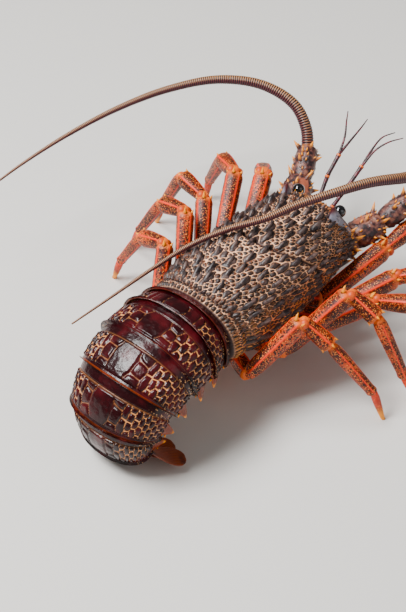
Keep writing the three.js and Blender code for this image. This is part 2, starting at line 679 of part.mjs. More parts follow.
// Every piece, each cut clear of what it grows from, in its own named mesh.
const SHELL = new THREE.MeshStandardMaterial({ color: "#8a6a4c", roughness: 0.62 });
const TAIL = new THREE.MeshStandardMaterial({ color: "#47161a", roughness: 0.25 });
const LEG = new THREE.MeshStandardMaterial({ color: "#c8471c", roughness: 0.45 });
const JOINTS = new THREE.MeshStandardMaterial({ color: "#6a4038", roughness: 0.6 });
const HORNS = new THREE.MeshStandardMaterial({ color: "#3c1c26", roughness: 0.4 });
const FEELER = new THREE.MeshStandardMaterial({ color: "#5b3038", roughness: 0.5 });
const EYES = new THREE.MeshStandardMaterial({ color: "#0b0a0c", roughness: 0.08 });
const FANS = new THREE.MeshStandardMaterial({ color: "#8c3a1e", roughness: 0.5 });
const UNDERSIDE = new THREE.MeshStandardMaterial({ color: "#b06a3a", roughness: 0.6 });

const lobster = new THREE.Group();
const placed = [];
const near = (a, b) => [0, 1, 2].every((i) => a.min[i] < b.max[i] && b.min[i] < a.max[i]);

// make(grow) gives the piece's solid. It gives way to every piece placed before it.
function add(name, make, material) {
  const whole = make(0);
  const box = whole.boundingBox();
  const cutters = placed.filter((other) => near(box, other.box)).map((other) => other.solid);
  const piece = largestBody(without(whole, [...cutters, UNDER_FLOOR]));
  const mesh = new THREE.Mesh(geometryOf(piece), material);
  mesh.name = name;
  lobster.add(mesh);
  const solid = make(CONTACT_GAP);
  placed.push({ solid, box: solid.boundingBox() });
}
const SIDES = { right: 1, left: -1 };
const numbered = (count) => Array.from({ length: count }, (_, i) => i);

add(
  "carapace",
  (grow) => union([carapaceShell(grow), ...frontSpines(grow), ...shellScales(grow)]),
  SHELL,
);
add("sternum", sternum, UNDERSIDE);
for (const index of numbered(6)) {
  add(`tail_${index + 1}`, (grow) => tailSegment(index, grow), TAIL);
}
add("telson", (grow) => blade(FAN.telson, 1, grow), FANS);
for (const [name, side] of Object.entries(SIDES)) {
  add(`uropod_${name}_inner`, (grow) => blade(FAN.inner, side, grow), FANS);
  add(`uropod_${name}_outer`, (grow) => blade(FAN.outer, side, grow), FANS);
}
for (const [name, side] of Object.entries(SIDES)) {
  add(`horn_${name}`, (grow) => horn(side, grow), HORNS);
  for (const index of numbered(3)) {
    add(`antenna_${name}_joint_${index + 1}`, (grow) => antennaJoint(index, side, grow), JOINTS);
  }
}
add("mouth", mouth, UNDERSIDE);
for (const [name, side] of Object.entries(SIDES)) {
  add(`antenna_${name}_whip_root`, (grow) => whip(name, 0, 0.5, grow), FEELER);
  add(`antenna_${name}_whip_tip`, (grow) => whip(name, 0.475, 1, grow), FEELER);
  add(`eye_${name}`, (grow) => eye(side, grow), EYES);
  add(`antennule_${name}`, (grow) => antennule(side, grow), FEELER);
  for (const index of numbered(5)) {
    add(`leg_${name}_${index + 1}_upper`, (grow) => thigh(name, index, grow), LEG);
    add(`leg_${name}_${index + 1}_lower`, (grow) => shin(name, index, grow), LEG);
  }
  add(`maxilliped_${name}`, (grow) => maxilliped(side, grow), LEG);
  for (const [index, sizes] of SWIMMERETS.entries()) {
    add(`swimmeret_${name}_${index + 2}`, (grow) => swimmeret(sizes, side, grow), UNDERSIDE);
  }
}

export default lobster;
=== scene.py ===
"""A spiny rock lobster at life size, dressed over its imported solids."""

import math

import bpy
import numpy as np
from bpy.props import FloatProperty, FloatVectorProperty, IntProperty, PointerProperty
from mathutils import Matrix, Vector


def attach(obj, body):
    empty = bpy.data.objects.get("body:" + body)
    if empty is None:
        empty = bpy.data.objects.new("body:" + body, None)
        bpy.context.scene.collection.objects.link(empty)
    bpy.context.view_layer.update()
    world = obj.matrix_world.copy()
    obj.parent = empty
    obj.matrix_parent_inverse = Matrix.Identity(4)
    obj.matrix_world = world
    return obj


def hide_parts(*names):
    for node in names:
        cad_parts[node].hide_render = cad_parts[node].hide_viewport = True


bl_info = {
    "name": "Spiny rock lobster",
    "version": (1, 0, 0),
    "blender": (4, 5, 0),
    "location": "View3D > Sidebar > Lobster",
    "description": "Builds a life-size spiny rock lobster around its packed solids",
    "category": "Add Mesh",
}

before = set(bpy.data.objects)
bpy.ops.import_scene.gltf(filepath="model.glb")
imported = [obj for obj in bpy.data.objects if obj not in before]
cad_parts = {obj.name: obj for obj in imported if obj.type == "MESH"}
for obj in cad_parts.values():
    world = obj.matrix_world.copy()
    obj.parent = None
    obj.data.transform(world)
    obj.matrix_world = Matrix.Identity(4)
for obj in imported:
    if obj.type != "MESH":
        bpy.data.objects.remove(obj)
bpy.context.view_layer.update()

MM = 0.001
# Body coordinates are millimetres forward of the carapace's rear edge, to the animal's right, and up.
SHIFT_FORWARD = 58.9
SHIFT_RIGHT = -26.5
AXIS_HEIGHT = 60.0


def linear(text):
    """An sRGB hex colour as linear RGB."""
    parts = [int(text[i : i + 2], 16) / 255 for i in (1, 3, 5)]
    return [c / 12.92 if c <= 0.04045 else ((c + 0.055) / 1.055) ** 2.4 for c in parts]


def at(forward, right, up):
    """Body coordinates in millimetres to the row frame in millimetres. Arrays broadcast."""
    forward, right, up = np.broadcast_arrays(
        np.asarray(forward, float), np.asarray(right, float), np.asarray(up, float)
    )
    return np.stack([SHIFT_RIGHT - right, SHIFT_FORWARD - forward, up], axis=-1)


RIGHTWARDS = np.array([-1.0, 0.0, 0.0])
UPWARDS = np.array([0.0, 0.0, 1.0])
FORWARDS = np.array([0.0, -1.0, 0.0])
SIDES = {"right": 1, "left": -1}


def mirrored(points, side=1):
    """Body coordinates to the row frame, mirrored for the left side."""
    return [at(forward, right * side, up) for forward, right, up in points]


def unit(vectors):
    """Vectors brought to length 1."""
    vectors = np.asarray(vectors, float)
    return vectors / np.maximum(np.linalg.norm(vectors, axis=-1, keepdims=True), 1e-12)


def read_table(table, places):
    """Smooth reading of rows that start with their place. Returns places' shape plus one column a value."""
    rows = np.asarray(table, float)
    x, v = rows[:, 0], rows[:, 1:]
    places = np.asarray(places, float)
    k = np.clip(np.searchsorted(x, places, side="left") - 1, 0, len(x) - 2)
    before, after = np.maximum(k - 1, 0), np.minimum(k + 2, len(x) - 1)
    span = (x[k + 1] - x[k])[..., None]
    t = np.clip((places - x[k])[..., None] / span, 0, 1)
    slope_a = (v[k + 1] - v[before]) / (x[k + 1] - x[before])[..., None] * span
    slope_b = (v[after] - v[k]) / (x[after] - x[k])[..., None] * span
    return (
        v[k] * (2 * t**3 - 3 * t**2 + 1)
        + slope_a * (t**3 - 2 * t**2 + t)
        + v[k + 1] * (3 * t**2 - 2 * t**3)
        + slope_b * (t**3 - t**2)
    )


def bulge(x, power):
    """A sine or cosine bent towards a box, where the power is under 1."""
    return np.sign(x) * np.abs(x) ** power


def smooth(low, high, x):
    """A soft step from 0 at low to 1 at high."""
    t = np.clip((x - low) / (high - low), 0, 1)
    return t * t * (3 - 2 * t)


def hump(x, centre, width):
    """A soft hump, 1 at its centre."""
    return np.exp(-(((x - centre) / width) ** 2))


def wrapped(angle):
    """An angle brought to within half a turn of nought."""
    return (angle + math.pi) % (2 * math.pi) - math.pi


def circle(count):
    """Even angles once round, as one row."""
    return np.linspace(0, 2 * math.pi, count, endpoint=False)[None, :]


# Settings that a user would change


def size_prop(name, about, default):
    """A length in metres."""
    return FloatProperty(name=name, description=about, default=default, unit="LENGTH", precision=4)


def colour_prop(name, about, text):
    """A colour, given as sRGB hex."""
    return FloatVectorProperty(
        name=name, description=about, default=linear(text), size=3, min=0, max=1, subtype="COLOR"
    )


class LobsterSizes(bpy.types.PropertyGroup):
    carapace_length: size_prop("Carapace length", "From the rear edge to the front", 0.130)
    scale_length: size_prop("Scale length", "Length of a large scale on the carapace", 0.0098)
    scale_height: size_prop("Scale height", "How far a large scale stands off the carapace", 0.0029)
    knob_spacing: size_prop("Knob spacing", "Distance between the small knobs of the carapace", 0.0033)
    knob_height: size_prop("Knob height", "Height of the small knobs over the network", 0.0011)
    plate_height: size_prop("Plate height", "Height of the tail's plates over their seams", 0.001)
    whip_root: size_prop("Whip root radius", "Radius of an antenna's whip at its root", 0.0044)
    whip_tip: size_prop("Whip tip radius", "Radius of an antenna's whip at its tip", 0.00055)
    whip_ring: size_prop("Whip ring", "Length of one ring of a whip", 0.0019)
    seed: IntProperty(name="Seed", description="Start of the random placing", default=7, min=0)


class LobsterColours(bpy.types.PropertyGroup):
    ground: colour_prop("Shell ground", "Network between the scales", "#FFC094")
    ground_side: colour_prop("Shell side", "Network on the lower sides and in front", "#FF9C54")
    knob: colour_prop("Knob", "Tops of the small knobs", "#200D06")
    scale: colour_prop("Scale", "Tops of the large scales", "#221719")
    tail: colour_prop("Tail", "Plates of the tail", "#200306")
    seam: colour_prop("Seam", "Seams between the tail's plates", "#F0A060")
    leg: colour_prop("Leg", "Ridges of the legs", "#F03400")
    leg_face: colour_prop("Leg face", "Speckled faces of the legs", "#581402")
    joint: colour_prop("Joint", "Knobs and ends at the joints", "#EE6A10")
    tip: colour_prop("Spine tip", "Tips of the spines", "#FF9A10")
    horn: colour_prop("Horn", "Flat horns over the eyes", "#8C8C9C")
    peduncle: colour_prop("Antenna base", "The antennae's heavy joints", "#5A3430")
    whip: colour_prop("Whip", "Whips of the antennae", "#5E2632")
    fan: colour_prop("Fan", "Tail fan", "#7A2A10")


class LobsterStage(bpy.types.PropertyGroup):
    lens: FloatProperty(name="Lens", description="Focal length", default=0.085, unit="CAMERA")
    distance: size_prop("Distance", "From the camera to the animal", 0.932)
    key: FloatProperty(name="Key light", description="Power of the key light", default=27, unit="POWER")
    fill: FloatProperty(name="Fill light", description="Power of the fill light", default=4, unit="POWER")
    sky: FloatProperty(name="Sky light", description="Strength of the wide overhead light", default=2.2)
    floor: colour_prop("Floor", "The plain floor", "#D9D6D1")


# Shapes of the body

# The carapace's places run from 0 at its rear edge to 1 at its front, and a little past it.
# Rows of the carapace: place along it, half its breadth, and its height over and under the axis.
CARAPACE = [
    [0, 34, 28, 17],
    [0.03, 36.5, 30.5, 19],
    [0.2, 41, 32.5, 23],
    [0.42, 42, 33.5, 25],
    [0.62, 41, 32.5, 25],
    [0.8, 38.5, 29.5, 23],
    [0.92, 37, 27.5, 19],
    [0.99, 34.5, 25, 15],
    [1.03, 29, 20.5, 11],
    [1.045, 21, 15, 8],
]
# Two grooves run across it. The main one slants forward on the sides.
GROOVE_PLACE, GROOVE_SLANT, GROOVE_DEPTH = 0.5, 0.2, 1.8
REAR_GROOVE_PLACE, REAR_GROOVE_DEPTH = 0.055, 1.7
GROOVE_WIDTH, REAR_GROOVE_SHADE = 0.014, 0.016
GROOVE_ROOM = 0.03  # bare of large scales
SHELL_POWER = 0.92
SHELL_RADIUS = 38.0  # turns an angle round the carapace into millimetres


def carapace_surface(place, angle):
    """Points of the carapace. Angle 0 is the middle of the back, and positive angles are to the right."""
    length = bpy.context.scene.lobster_sizes.carapace_length / MM
    place, angle = np.broadcast_arrays(np.asarray(place, float), np.asarray(angle, float))
    slant = GROOVE_SLANT * np.sin(angle) ** 2 * 4 * place * (1 - place)
    where = place + np.maximum(slant, 0) * (place <= 1)
    half, over, under = np.moveaxis(read_table(CARAPACE, where), -1, 0)
    inset = GROOVE_DEPTH * hump(place, GROOVE_PLACE, GROOVE_WIDTH)
    inset = inset + REAR_GROOVE_DEPTH * hump(place, REAR_GROOVE_PLACE, GROOVE_WIDTH)
    height = np.where(np.cos(angle) > 0, over, under)
    return at(
        where * length,
        bulge(np.sin(angle), SHELL_POWER) * (half - inset),
        AXIS_HEIGHT + bulge(np.cos(angle), SHELL_POWER) * (height - inset),
    )


# How steeply the tail's axis points down, in degrees, at millimetres along it.
TAIL_PITCH = [
    [0, -8], [14, -6], [34, 4], [54, 24], [74, 53], [92, 80], [104, 104], [114, 130], [124, 156],
    [134, 168], [148, 176],
]  # fmt: skip
# Millimetres between two places on that axis, its length, and how far over the carapace's it starts.
TAIL_STEP, TAIL_REACH, TAIL_RISE = 0.5, 160, 2


def tail_axis():
    """Places along the tail's axis, and its forward and up coordinates and pitch there."""
    reach = np.arange(0, TAIL_REACH + TAIL_STEP / 2, TAIL_STEP)
    pitch = np.radians(read_table(TAIL_PITCH, np.minimum(reach, TAIL_PITCH[-1][0]))[:, 0])
    forward = -np.concatenate([[0], np.cumsum(np.cos(pitch[1:]) * TAIL_STEP)])
    up = AXIS_HEIGHT + TAIL_RISE - np.concatenate([[0], np.cumsum(np.sin(pitch[1:]) * TAIL_STEP)])
    return reach, forward, up, pitch


TAIL_AXIS = tail_axis()


def tail_surface(along, right, out):
    """Points near the tail: distance along its axis, to the right, and out towards its back."""
    reach, forward, up, pitch = TAIL_AXIS
    along, right, out = np.broadcast_arrays(*(np.asarray(v, float) for v in (along, right, out)))
    p = np.interp(along, reach, pitch)
    spill = np.minimum(along, 0)
    return at(
        np.interp(along, reach, forward) - np.cos(p) * spill - np.sin(p) * out,
        right,
        np.interp(along, reach, up) - np.sin(p) * spill + np.cos(p) * out,
    )


# Ends of the tail segments along the axis, and the section there: half its breadth, over and under.
SOMITE_ENDS = [0, 9, 22, 42, 63, 84, 104]
TAIL_SECTION = [
    [0, 33, 25.5, 9], [9, 36.5, 27.5, 10], [22, 38.5, 28, 10], [42, 38.5, 27, 10],
    [63, 36.5, 25, 9.5], [84, 32.5, 21, 8.5], [104, 26, 13.5, 7],
]  # fmt: skip
SOMITE_FLARE = 1.1
SOMITE_POWERS = {"sides": 0.9, "back": 0.95, "belly": 0.5}


def somite_surface(index, share, angle):
    """Points of a tail segment, which widens a little towards its rear edge."""
    start, end = SOMITE_ENDS[index : index + 2]
    share, angle = np.broadcast_arrays(np.asarray(share, float), np.asarray(angle, float))
    along = start + (end - start) * share
    half, over, under = np.moveaxis(read_table(TAIL_SECTION, np.maximum(along, 0)), -1, 0)
    flare = np.clip(share, -0.2, 1) * SOMITE_FLARE - SOMITE_FLARE / 2
    upper = np.cos(angle) > 0
    power = np.where(upper, SOMITE_POWERS["back"], SOMITE_POWERS["belly"])
    above = np.abs(np.cos(angle)) ** power * (np.where(upper, over, under) + flare)
    aside = bulge(np.sin(angle), SOMITE_POWERS["sides"]) * (half + flare)
    return tail_surface(along, aside, np.where(upper, above, -above))


# Meshes

ATTRIBUTES = ("mark", "edge", "tip", "side")
BAKE_MAP = "OFBake"
# Bare margins in the map, as a share of a sleeve's strip or of a scattered shape's square.
STRIP_MARGIN, SQUARE_MARGIN = 0.01, 0.05


def normals_of(points):
    """Outward normals of a sheet whose columns run round it."""
    along = np.gradient(points, axis=0)
    around = np.roll(points, -1, axis=1) - np.roll(points, 1, axis=1)
    normals = unit(np.cross(around, along))
    outwards = points - points.mean(axis=1, keepdims=True)
    return normals * (1 if (normals * outwards).sum() > 0 else -1)


def sheet(points, lift=None, pole=(0.0, 0.0), **values):
    """A closed sleeve of points with its relief and its values at each point."""
    if lift is not None:
        points = points + normals_of(points) * lift[..., None]
    return {"points": points, "pole": pole, "values": values}


def closed(grid, pole=(0.0, 0.0)):
    """The points, faces and map of a closed sleeve, with a pole past each end and faces outwards."""
    rows, cols = grid.shape[:2]
    ends = [grid[0].mean(axis=0), grid[-1].mean(axis=0)]
    step = unit(ends[1] - ends[0])
    points = np.concatenate([grid.reshape(-1, 3), [ends[0] - step * pole[0], ends[1] + step * pole[1]]])
    index = np.arange(rows * cols).reshape(rows, cols)
    index = np.pad(index, ((1, 0), (0, 0)), constant_values=rows * cols)
    index = np.pad(index, ((0, 1), (0, 0)), constant_values=rows * cols + 1)
    index = np.concatenate([index, index[:, :1]], axis=1)
    spots = np.stack(np.meshgrid(np.linspace(0, 1, cols + 1), np.linspace(0, 1, rows + 2)), -1)
    faces, corners = (
        np.stack([v[:-1, :-1], v[:-1, 1:], v[1:, 1:], v[1:, :-1]], 2) for v in (index, spots)
    )
    a, b, c = (points[faces[1:-1, :, i]].reshape(-1, 3) - points.mean(axis=0) for i in (0, 1, 2))
    turn = -1 if np.einsum("ij,ij->i", a, np.cross(b, c)).sum() < 0 else 1
    parts = [
        (v[0][:, [0, 2, 3]], v[1:-1].reshape(-1, *v.shape[2:]), v[-1][:, :3]) for v in (faces, corners)
    ]
    listed = [face for part in parts[0] for face in part[:, ::turn].tolist()]
    return points, listed, np.concatenate([part[:, ::turn].reshape(-1, 2) for part in parts[1]])


def dress(name, points, faces, spots, values):
    """A smooth mesh in metres with its map for baked colours and its values."""
    mesh = bpy.data.meshes.new(name)
    mesh.from_pydata(points.tolist(), [], faces)
    mesh.uv_layers.new(name=BAKE_MAP).uv.foreach_set("vector", spots.ravel())
    for key in ATTRIBUTES:
        mesh.attributes.new(key, "FLOAT", "POINT").data.foreach_set("value", values[key])
    mesh.shade_smooth()
    return mesh


def at_points(values, rows, cols):
    """Every value at each point of a sleeve and at its two poles."""
    found = {}
    for key in ATTRIBUTES:
        value = np.broadcast_to(values.get(key, 0.0), (rows, cols)).astype(float)
        found[key] = np.concatenate([value.ravel(), [value[0].mean(), value[-1].mean()]])
    return found


def add_object(name, data):
    """A new object in the scene."""
    made = bpy.data.objects.new(name, data)
    bpy.context.scene.collection.objects.link(made)
    return made


def settle(name, mesh, replaces=()):
    """Puts a finished mesh in the scene, on the model's one body."""
    made = add_object(name, mesh)
    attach(made, "root")
    if replaces:
        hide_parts(*replaces)


def piece(node, sheets, kind, replaced=True, floor=False):
    """The skin of a node, of closed sleeves that each have their own strip of the map.

    It replaces the node's solid unless told not to, and may be kept from reaching under the floor.
    """
    points, faces, spots, values = [], [], [], []
    width = sum(part["points"].shape[1] for part in sheets)
    base = begun = 0
    for part in sheets:
        rows, cols = part["points"].shape[:2]
        flat, listed, corners = closed(part["points"], part["pole"])
        points.append(flat)
        faces += [[base + i for i in face] for face in listed]
        strip = corners * (1 - 2 * STRIP_MARGIN, 1) + (STRIP_MARGIN, 0)
        spots.append((strip * (cols, width) + (begun, 0)) / width)
        values.append(at_points(part["values"], rows, cols))
        base += len(flat)
        begun += cols
    points = np.concatenate(points) * MM
    if floor:
        points[:, 2] = np.maximum(points[:, 2], 0)
    values = {key: np.concatenate([part[key] for part in values]) for key in ATTRIBUTES}
    mesh = dress(node + "_skin", points, faces, np.concatenate(spots), values)
    mesh.materials.append(look(kind))
    settle(node + "_skin", mesh, [node] if replaced else [])


def limb_frame(start, end, up):
    """Length of a straight segment, and its directions along, deep and broad."""
    length = np.linalg.norm(end - start)
    along = (end - start) / length
    deep = unit(up - along * (up @ along))
    return length, along, deep, np.cross(along, deep)


def limb(start, end, rows, up=UPWARDS, power=1.0, bend=0.0, rings=40, sides=32, ends=(1.5, 1.5)):
    """Points of a straight segment with rounded ends, with its shares and angles.

    The rows hold a share of its length, and half its breadth and depth there. The ends are the
    millimetres over which it rounds off, and its rings crowd towards them.
    """
    length, along, deep, broad = limb_frame(start, end, up)
    low, high = rows[0][0], rows[-1][0]
    even = np.linspace(0, 1, rings)
    crowded = 0.5 - 0.5 * np.cos(even * math.pi)
    share = (low + (high - low) * (0.55 * crowded + 0.45 * even))[:, None]
    angle = circle(sides)
    breadth, depth = np.moveaxis(read_table(rows, share), -1, 0)
    shrink = 1.0
    for gap, reach in ((share - low, ends[0]), (high - share, ends[1])):
        shrink = shrink * np.sqrt(1 - (1 - np.clip(gap * length / reach, 0, 1)) ** 2 * 0.999)
    sag = 4 * bend * share * (1 - share)
    points = (
        start
        + along * (share * length)[..., None]
        + broad * (bulge(np.sin(angle), power) * breadth * shrink)[..., None]
        + deep * (bulge(np.cos(angle), power) * depth * shrink - sag)[..., None]
    )
    return points, np.broadcast_to(share, points.shape[:2]), np.broadcast_to(angle, points.shape[:2])


def ball(centre, radius, rings=10, sides=16, gap=0.02):
    """Points of a ball, from a small gap round one pole to one round the other."""
    turn, angle = np.linspace(gap, math.pi - gap, rings)[:, None], circle(sides)
    rays = (np.sin(turn) * np.cos(angle), np.sin(turn) * np.sin(angle), np.cos(turn) + 0 * angle)
    return centre + radius * np.stack(rays, -1)


# Materials


def rgba(colour):
    """A colour with full cover."""
    return (*colour, 1.0)


def add_node(tree, kind, links=(), output=0, **settings):
    """Adds a node with its settings and inputs, and gives the socket of one output."""
    made = tree.nodes.new(kind)
    for key, value in settings.items():
        setattr(made, key, value)
    for key, value in dict(links).items():
        if isinstance(value, bpy.types.NodeSocket):
            tree.links.new(value, made.inputs[key])
        else:
            made.inputs[key].default_value = value
    return made.outputs[output] if made.outputs else made


def finish(name, base, layers, roughness, grain, **constants):
    """Makes a material of colours laid over each other, each where its pattern runs from low to high.

    A pattern is the name of a vertex value, ("noise", scale, detail) or ("dots", scale), and a layer
    may be kept to where another pattern runs from low to high. The grain is a noise's scale, strength
    and depth. Chitin's IOR is near the shader's own 1.5, which holds where no other is given.
    """
    material = bpy.data.materials.new(name)
    material.use_nodes = True
    tree = material.node_tree
    shader = tree.nodes["Principled BSDF"]
    place = add_node(tree, "ShaderNodeTexCoord", output="Object")
    made = {}

    def pattern(key):
        if key not in made:
            kind, *numbers = (key,) if isinstance(key, str) else key
            if kind == "noise":
                links = {"Vector": place, "Scale": numbers[0], "Detail": numbers[1]}
                made[key] = add_node(tree, "ShaderNodeTexNoise", links, "Fac")
            elif kind == "dots":
                links = {"Vector": place, "Scale": numbers[0]}
                made[key] = add_node(tree, "ShaderNodeTexVoronoi", links, "Distance")
            else:
                made[key] = add_node(tree, "ShaderNodeAttribute", (), "Fac", attribute_name=kind)
        return made[key]

    def between(key, low, high, to_low=0.0, to_high=1.0):
        ends = {"From Min": low, "From Max": high, "To Min": to_low, "To Max": to_high}
        links = {"Value": pattern(key), **ends}
        return add_node(tree, "ShaderNodeMapRange", links, interpolation_type="SMOOTHSTEP")

    colour = rgba(base)
    for key, low, high, above, *within in layers:
        factor = between(key, low, high)
        for other in within:
            links = {0: factor, 1: between(*other)}
            factor = add_node(tree, "ShaderNodeMath", links, operation="MULTIPLY")
        # Of the Mix node's numbered sockets, these are the ones for colours.
        links = {0: factor, 6: colour, 7: rgba(above)}
        colour = add_node(tree, "ShaderNodeMix", links, 2, data_type="RGBA")
    if layers:
        tree.links.new(colour, shader.inputs["Base Color"])
    else:
        shader.inputs["Base Color"].default_value = colour
    if isinstance(roughness, tuple):
        tree.links.new(between(*roughness), shader.inputs["Roughness"])
    else:
        shader.inputs["Roughness"].default_value = roughness
    scale, strength, depth = grain
    links = {"Height": pattern(("noise", scale, 4.0)), "Strength": strength, "Distance": depth}
    tree.links.new(add_node(tree, "ShaderNodeBump", links, "Normal"), shader.inputs["Normal"])
    for key, value in constants.items():
        shader.inputs[key.replace("_", " ")].default_value = value
    return material


def calcified_shell(hues):
    """Calcified shell, grown grainy: a matt network between dark knobs, and waxy slate scales."""
    layers = [
        ("side", 0.0, 1.0, hues.ground_side),
        (("noise", 90, 3.0), 0.52, 0.25, linear("#7A4428")),
        ("mark", 0.14, 0.4, hues.knob),
        (("noise", 420, 2.0), 0.52, 0.68, linear("#7A4226"), ("mark", 0.14, 0.4)),
        ("mark", 0.62, 0.9, hues.scale),
        (("noise", 260, 3.0), 0.4, 0.66, linear("#5C4640"), ("mark", 0.62, 0.9)),
        # Dark where the edge value runs high: the rear rim's own dark band, and painted shade in the grooves,
        # where the front turns under and in the low ground between the face's knobs.
        ("edge", 0.0, 1.0, linear("#2A0E0A")),
        ("tip", 0.0, 1.0, hues.tip),
    ]
    waxy = ("mark", 0.2, 0.9, 0.6, 0.4)
    return finish("Calcified shell", hues.ground, layers, waxy, grain=(900, 0.5, 0.0005))


def wet_tail_plate(hues):
    """Wet, smooth chitin: a clear lacquer shine over deep maroon plates with tan seams."""
    layers = [
        (("noise", 70, 4.0), 0.42, 0.7, linear("#480C12")),
        (("dots", 620), 0.36, 0.2, linear("#D09A68"), ("side", 0.0, 1.0)),
        ("mark", 0.0, 1.0, hues.seam),
        ("edge", 0.0, 1.0, linear("#B04A18")),
        ("tip", 0.0, 1.0, hues.tip),
    ]
    dull_seams = ("mark", 0.0, 1.0, 0.22, 0.5)
    return finish(
        "Wet tail plate", hues.tail, layers, dull_seams, grain=(150, 0.6, 0.0014),
        IOR=1.33, Coat_Weight=0.06, Coat_Roughness=0.06,
    )


def speckled_leg_shell(hues):
    """Thin, smooth chitin: bright ridges, and dark faces with tan and orange dots a millimetre apart."""
    layers = [
        (("noise", 60, 2.0), 0.42, 0.68, linear("#C84404")),
        (("dots", 640), 0.56, 0.4, linear("#1E0602")),
        (("dots", 900), 0.34, 0.2, linear("#FF9440"), (("noise", 150, 3.0), 0.22, 0.42)),
        ("edge", 0.0, 0.9, hues.leg),
        ("mark", 0.0, 1.0, hues.joint),
        ("side", 0.0, 1.0, linear("#D44C0C")),
        ("tip", 0.0, 1.0, hues.tip),
    ]
    return finish(
        "Speckled leg shell", hues.leg_face, layers, roughness=0.45, grain=(420, 0.4, 0.0005), IOR=1.4
    )


def knobbly_antenna_shell(hues):
    """Knobbly chitin: blotches two or three millimetres across, a pad worn paler, and orange tips."""
    layers = [
        (("noise", 240, 4.0), 0.5, 0.4, linear("#241418")),
        (("noise", 240, 4.0), 0.5, 0.62, linear("#8A5A48")),
        ("mark", 0.0, 1.0, linear("#A85A40")),
        ("tip", 0.0, 1.0, hues.tip),
    ]
    return finish(
        "Knobbly antenna shell", hues.peduncle, layers, roughness=0.4, grain=(1200, 0.4, 0.0006)
    )


def smooth_horn(hues):
    """Smooth horn: slate with paler and darker patches, darker along its edges, and dull red at the tip."""
    layers = [
        (("noise", 150, 4.0), 0.5, 0.36, linear("#4A4450")),
        (("noise", 420, 4.0), 0.5, 0.66, linear("#A8A4AC")),
        ("edge", 0.0, 0.8, linear("#2E1418")),
        ("tip", 0.0, 1.0, linear("#4A1418")),
    ]
    return finish("Smooth horn", hues.horn, layers, roughness=0.42, grain=(750, 0.4, 0.0006))


def smooth_feeler_shell(hues):
    """Smooth, slim feeler: dark maroon, with orange joints."""
    layers = [
        (("noise", 300, 3.0), 0.45, 0.65, linear("#6A2430")),
        ("tip", 0.0, 0.8, hues.joint),
    ]
    return finish(
        "Smooth feeler shell", linear("#2A0A12"), layers, roughness=0.35, grain=(700, 0.3, 0.0004)
    )


def soft_underside_shell(hues):
    """Soft, thinly calcified shell of the underside: satin, in tan and rust clouds."""
    layers = [
        (("noise", 140, 4.0), 0.5, 0.38, linear("#6A2C12")),
        (("noise", 140, 4.0), 0.5, 0.62, linear("#B87844")),
        ("mark", 0.0, 1.0, linear("#C89058")),
        ("tip", 0.0, 1.0, hues.tip),
    ]
    return finish(
        "Soft underside shell", linear("#9A4A22"), layers, roughness=0.5, grain=(700, 0.4, 0.0006)
    )


def ringed_whip(hues):
    """Horny, ringed chitin: purple brown, with a painted highlight in tan on each ring's crest where it faces
    up.
    """
    layers = [
        ("ring", 0.66, 0.98, hues.whip),
        # Painted highlight: tan on the crests' upward faces.
        ("ring", 0.74, 0.99, linear("#BC8450"), ("crown", 0.3, 1.0)),
    ]
    return finish("Ringed whip", linear("#14040A"), layers, roughness=0.4, grain=(900, 0.2, 0.0003))


def wet_eye(hues):
    """A wet faceted eye: near black and mirror-like, on a spotted orange stalk."""
    layers = [
        (("noise", 380, 3.0), 0.44, 0.56, hues.tip),
        ("mark", 0.0, 1.0, linear("#050508")),
    ]
    glassy = ("mark", 0.0, 1.0, 0.45, 0.06)
    return finish(
        "Wet eye", linear("#2E1A1C"), layers, glassy, grain=(600, 0.1, 0.0002),
        IOR=1.45, Coat_Weight=1.0, Coat_Roughness=0.03,
    )


def leathery_fan_blade(hues):
    """Leathery, uncalcified blade: satin, with fine parallel ribs that catch the light."""
    layers = [
        ("side", 0.0, 1.0, hues.fan),
        ("mark", 0.0, 1.0, linear("#A8541E")),
        (("noise", 110, 3.0), 0.5, 0.2, linear("#3A100A")),
    ]
    return finish("Leathery fan blade", hues.tail, layers, roughness=0.42, grain=(300, 0.3, 0.0005))


FINISHES = {
    "shell": calcified_shell,
    "tail": wet_tail_plate,
    "leg": speckled_leg_shell,
    "peduncle": knobbly_antenna_shell,
    "horn": smooth_horn,
    "antennule": smooth_feeler_shell,
    "underside": soft_underside_shell,
    "whip": ringed_whip,
    "eye": wet_eye,
    "fan": leathery_fan_blade,
}
LOOKS = {}


def look(kind):
    """The material of a kind of piece, made once."""
    if kind not in LOOKS:
        LOOKS[kind] = FINISHES[kind](bpy.context.scene.lobster_colours)
    return LOOKS[kind]


# Geometry Nodes


def points_mesh(name, points, **vectors):
    """Loose vertices with vector values, for the trees below."""
    mesh = bpy.data.meshes.new(name)
    mesh.from_pydata((np.asarray(points) * MM).tolist(), [], [])
    for key, value in vectors.items():
        layer = mesh.attributes.new(key, "FLOAT_VECTOR", "POINT")
        layer.data.foreach_set("vector", np.asarray(value, float).ravel())
    return mesh


def new_tree(name, inputs):
    """An empty tree that takes geometry and the named inputs, and gives geometry."""
    tree = bpy.data.node_groups.new(name, "GeometryNodeTree")
    for key, kind in {"Geometry": "Geometry", **inputs}.items():
        tree.interface.new_socket(key, in_out="INPUT", socket_type="NodeSocket" + kind)
    tree.interface.new_socket("Geometry", in_out="OUTPUT", socket_type="NodeSocketGeometry")
    return tree


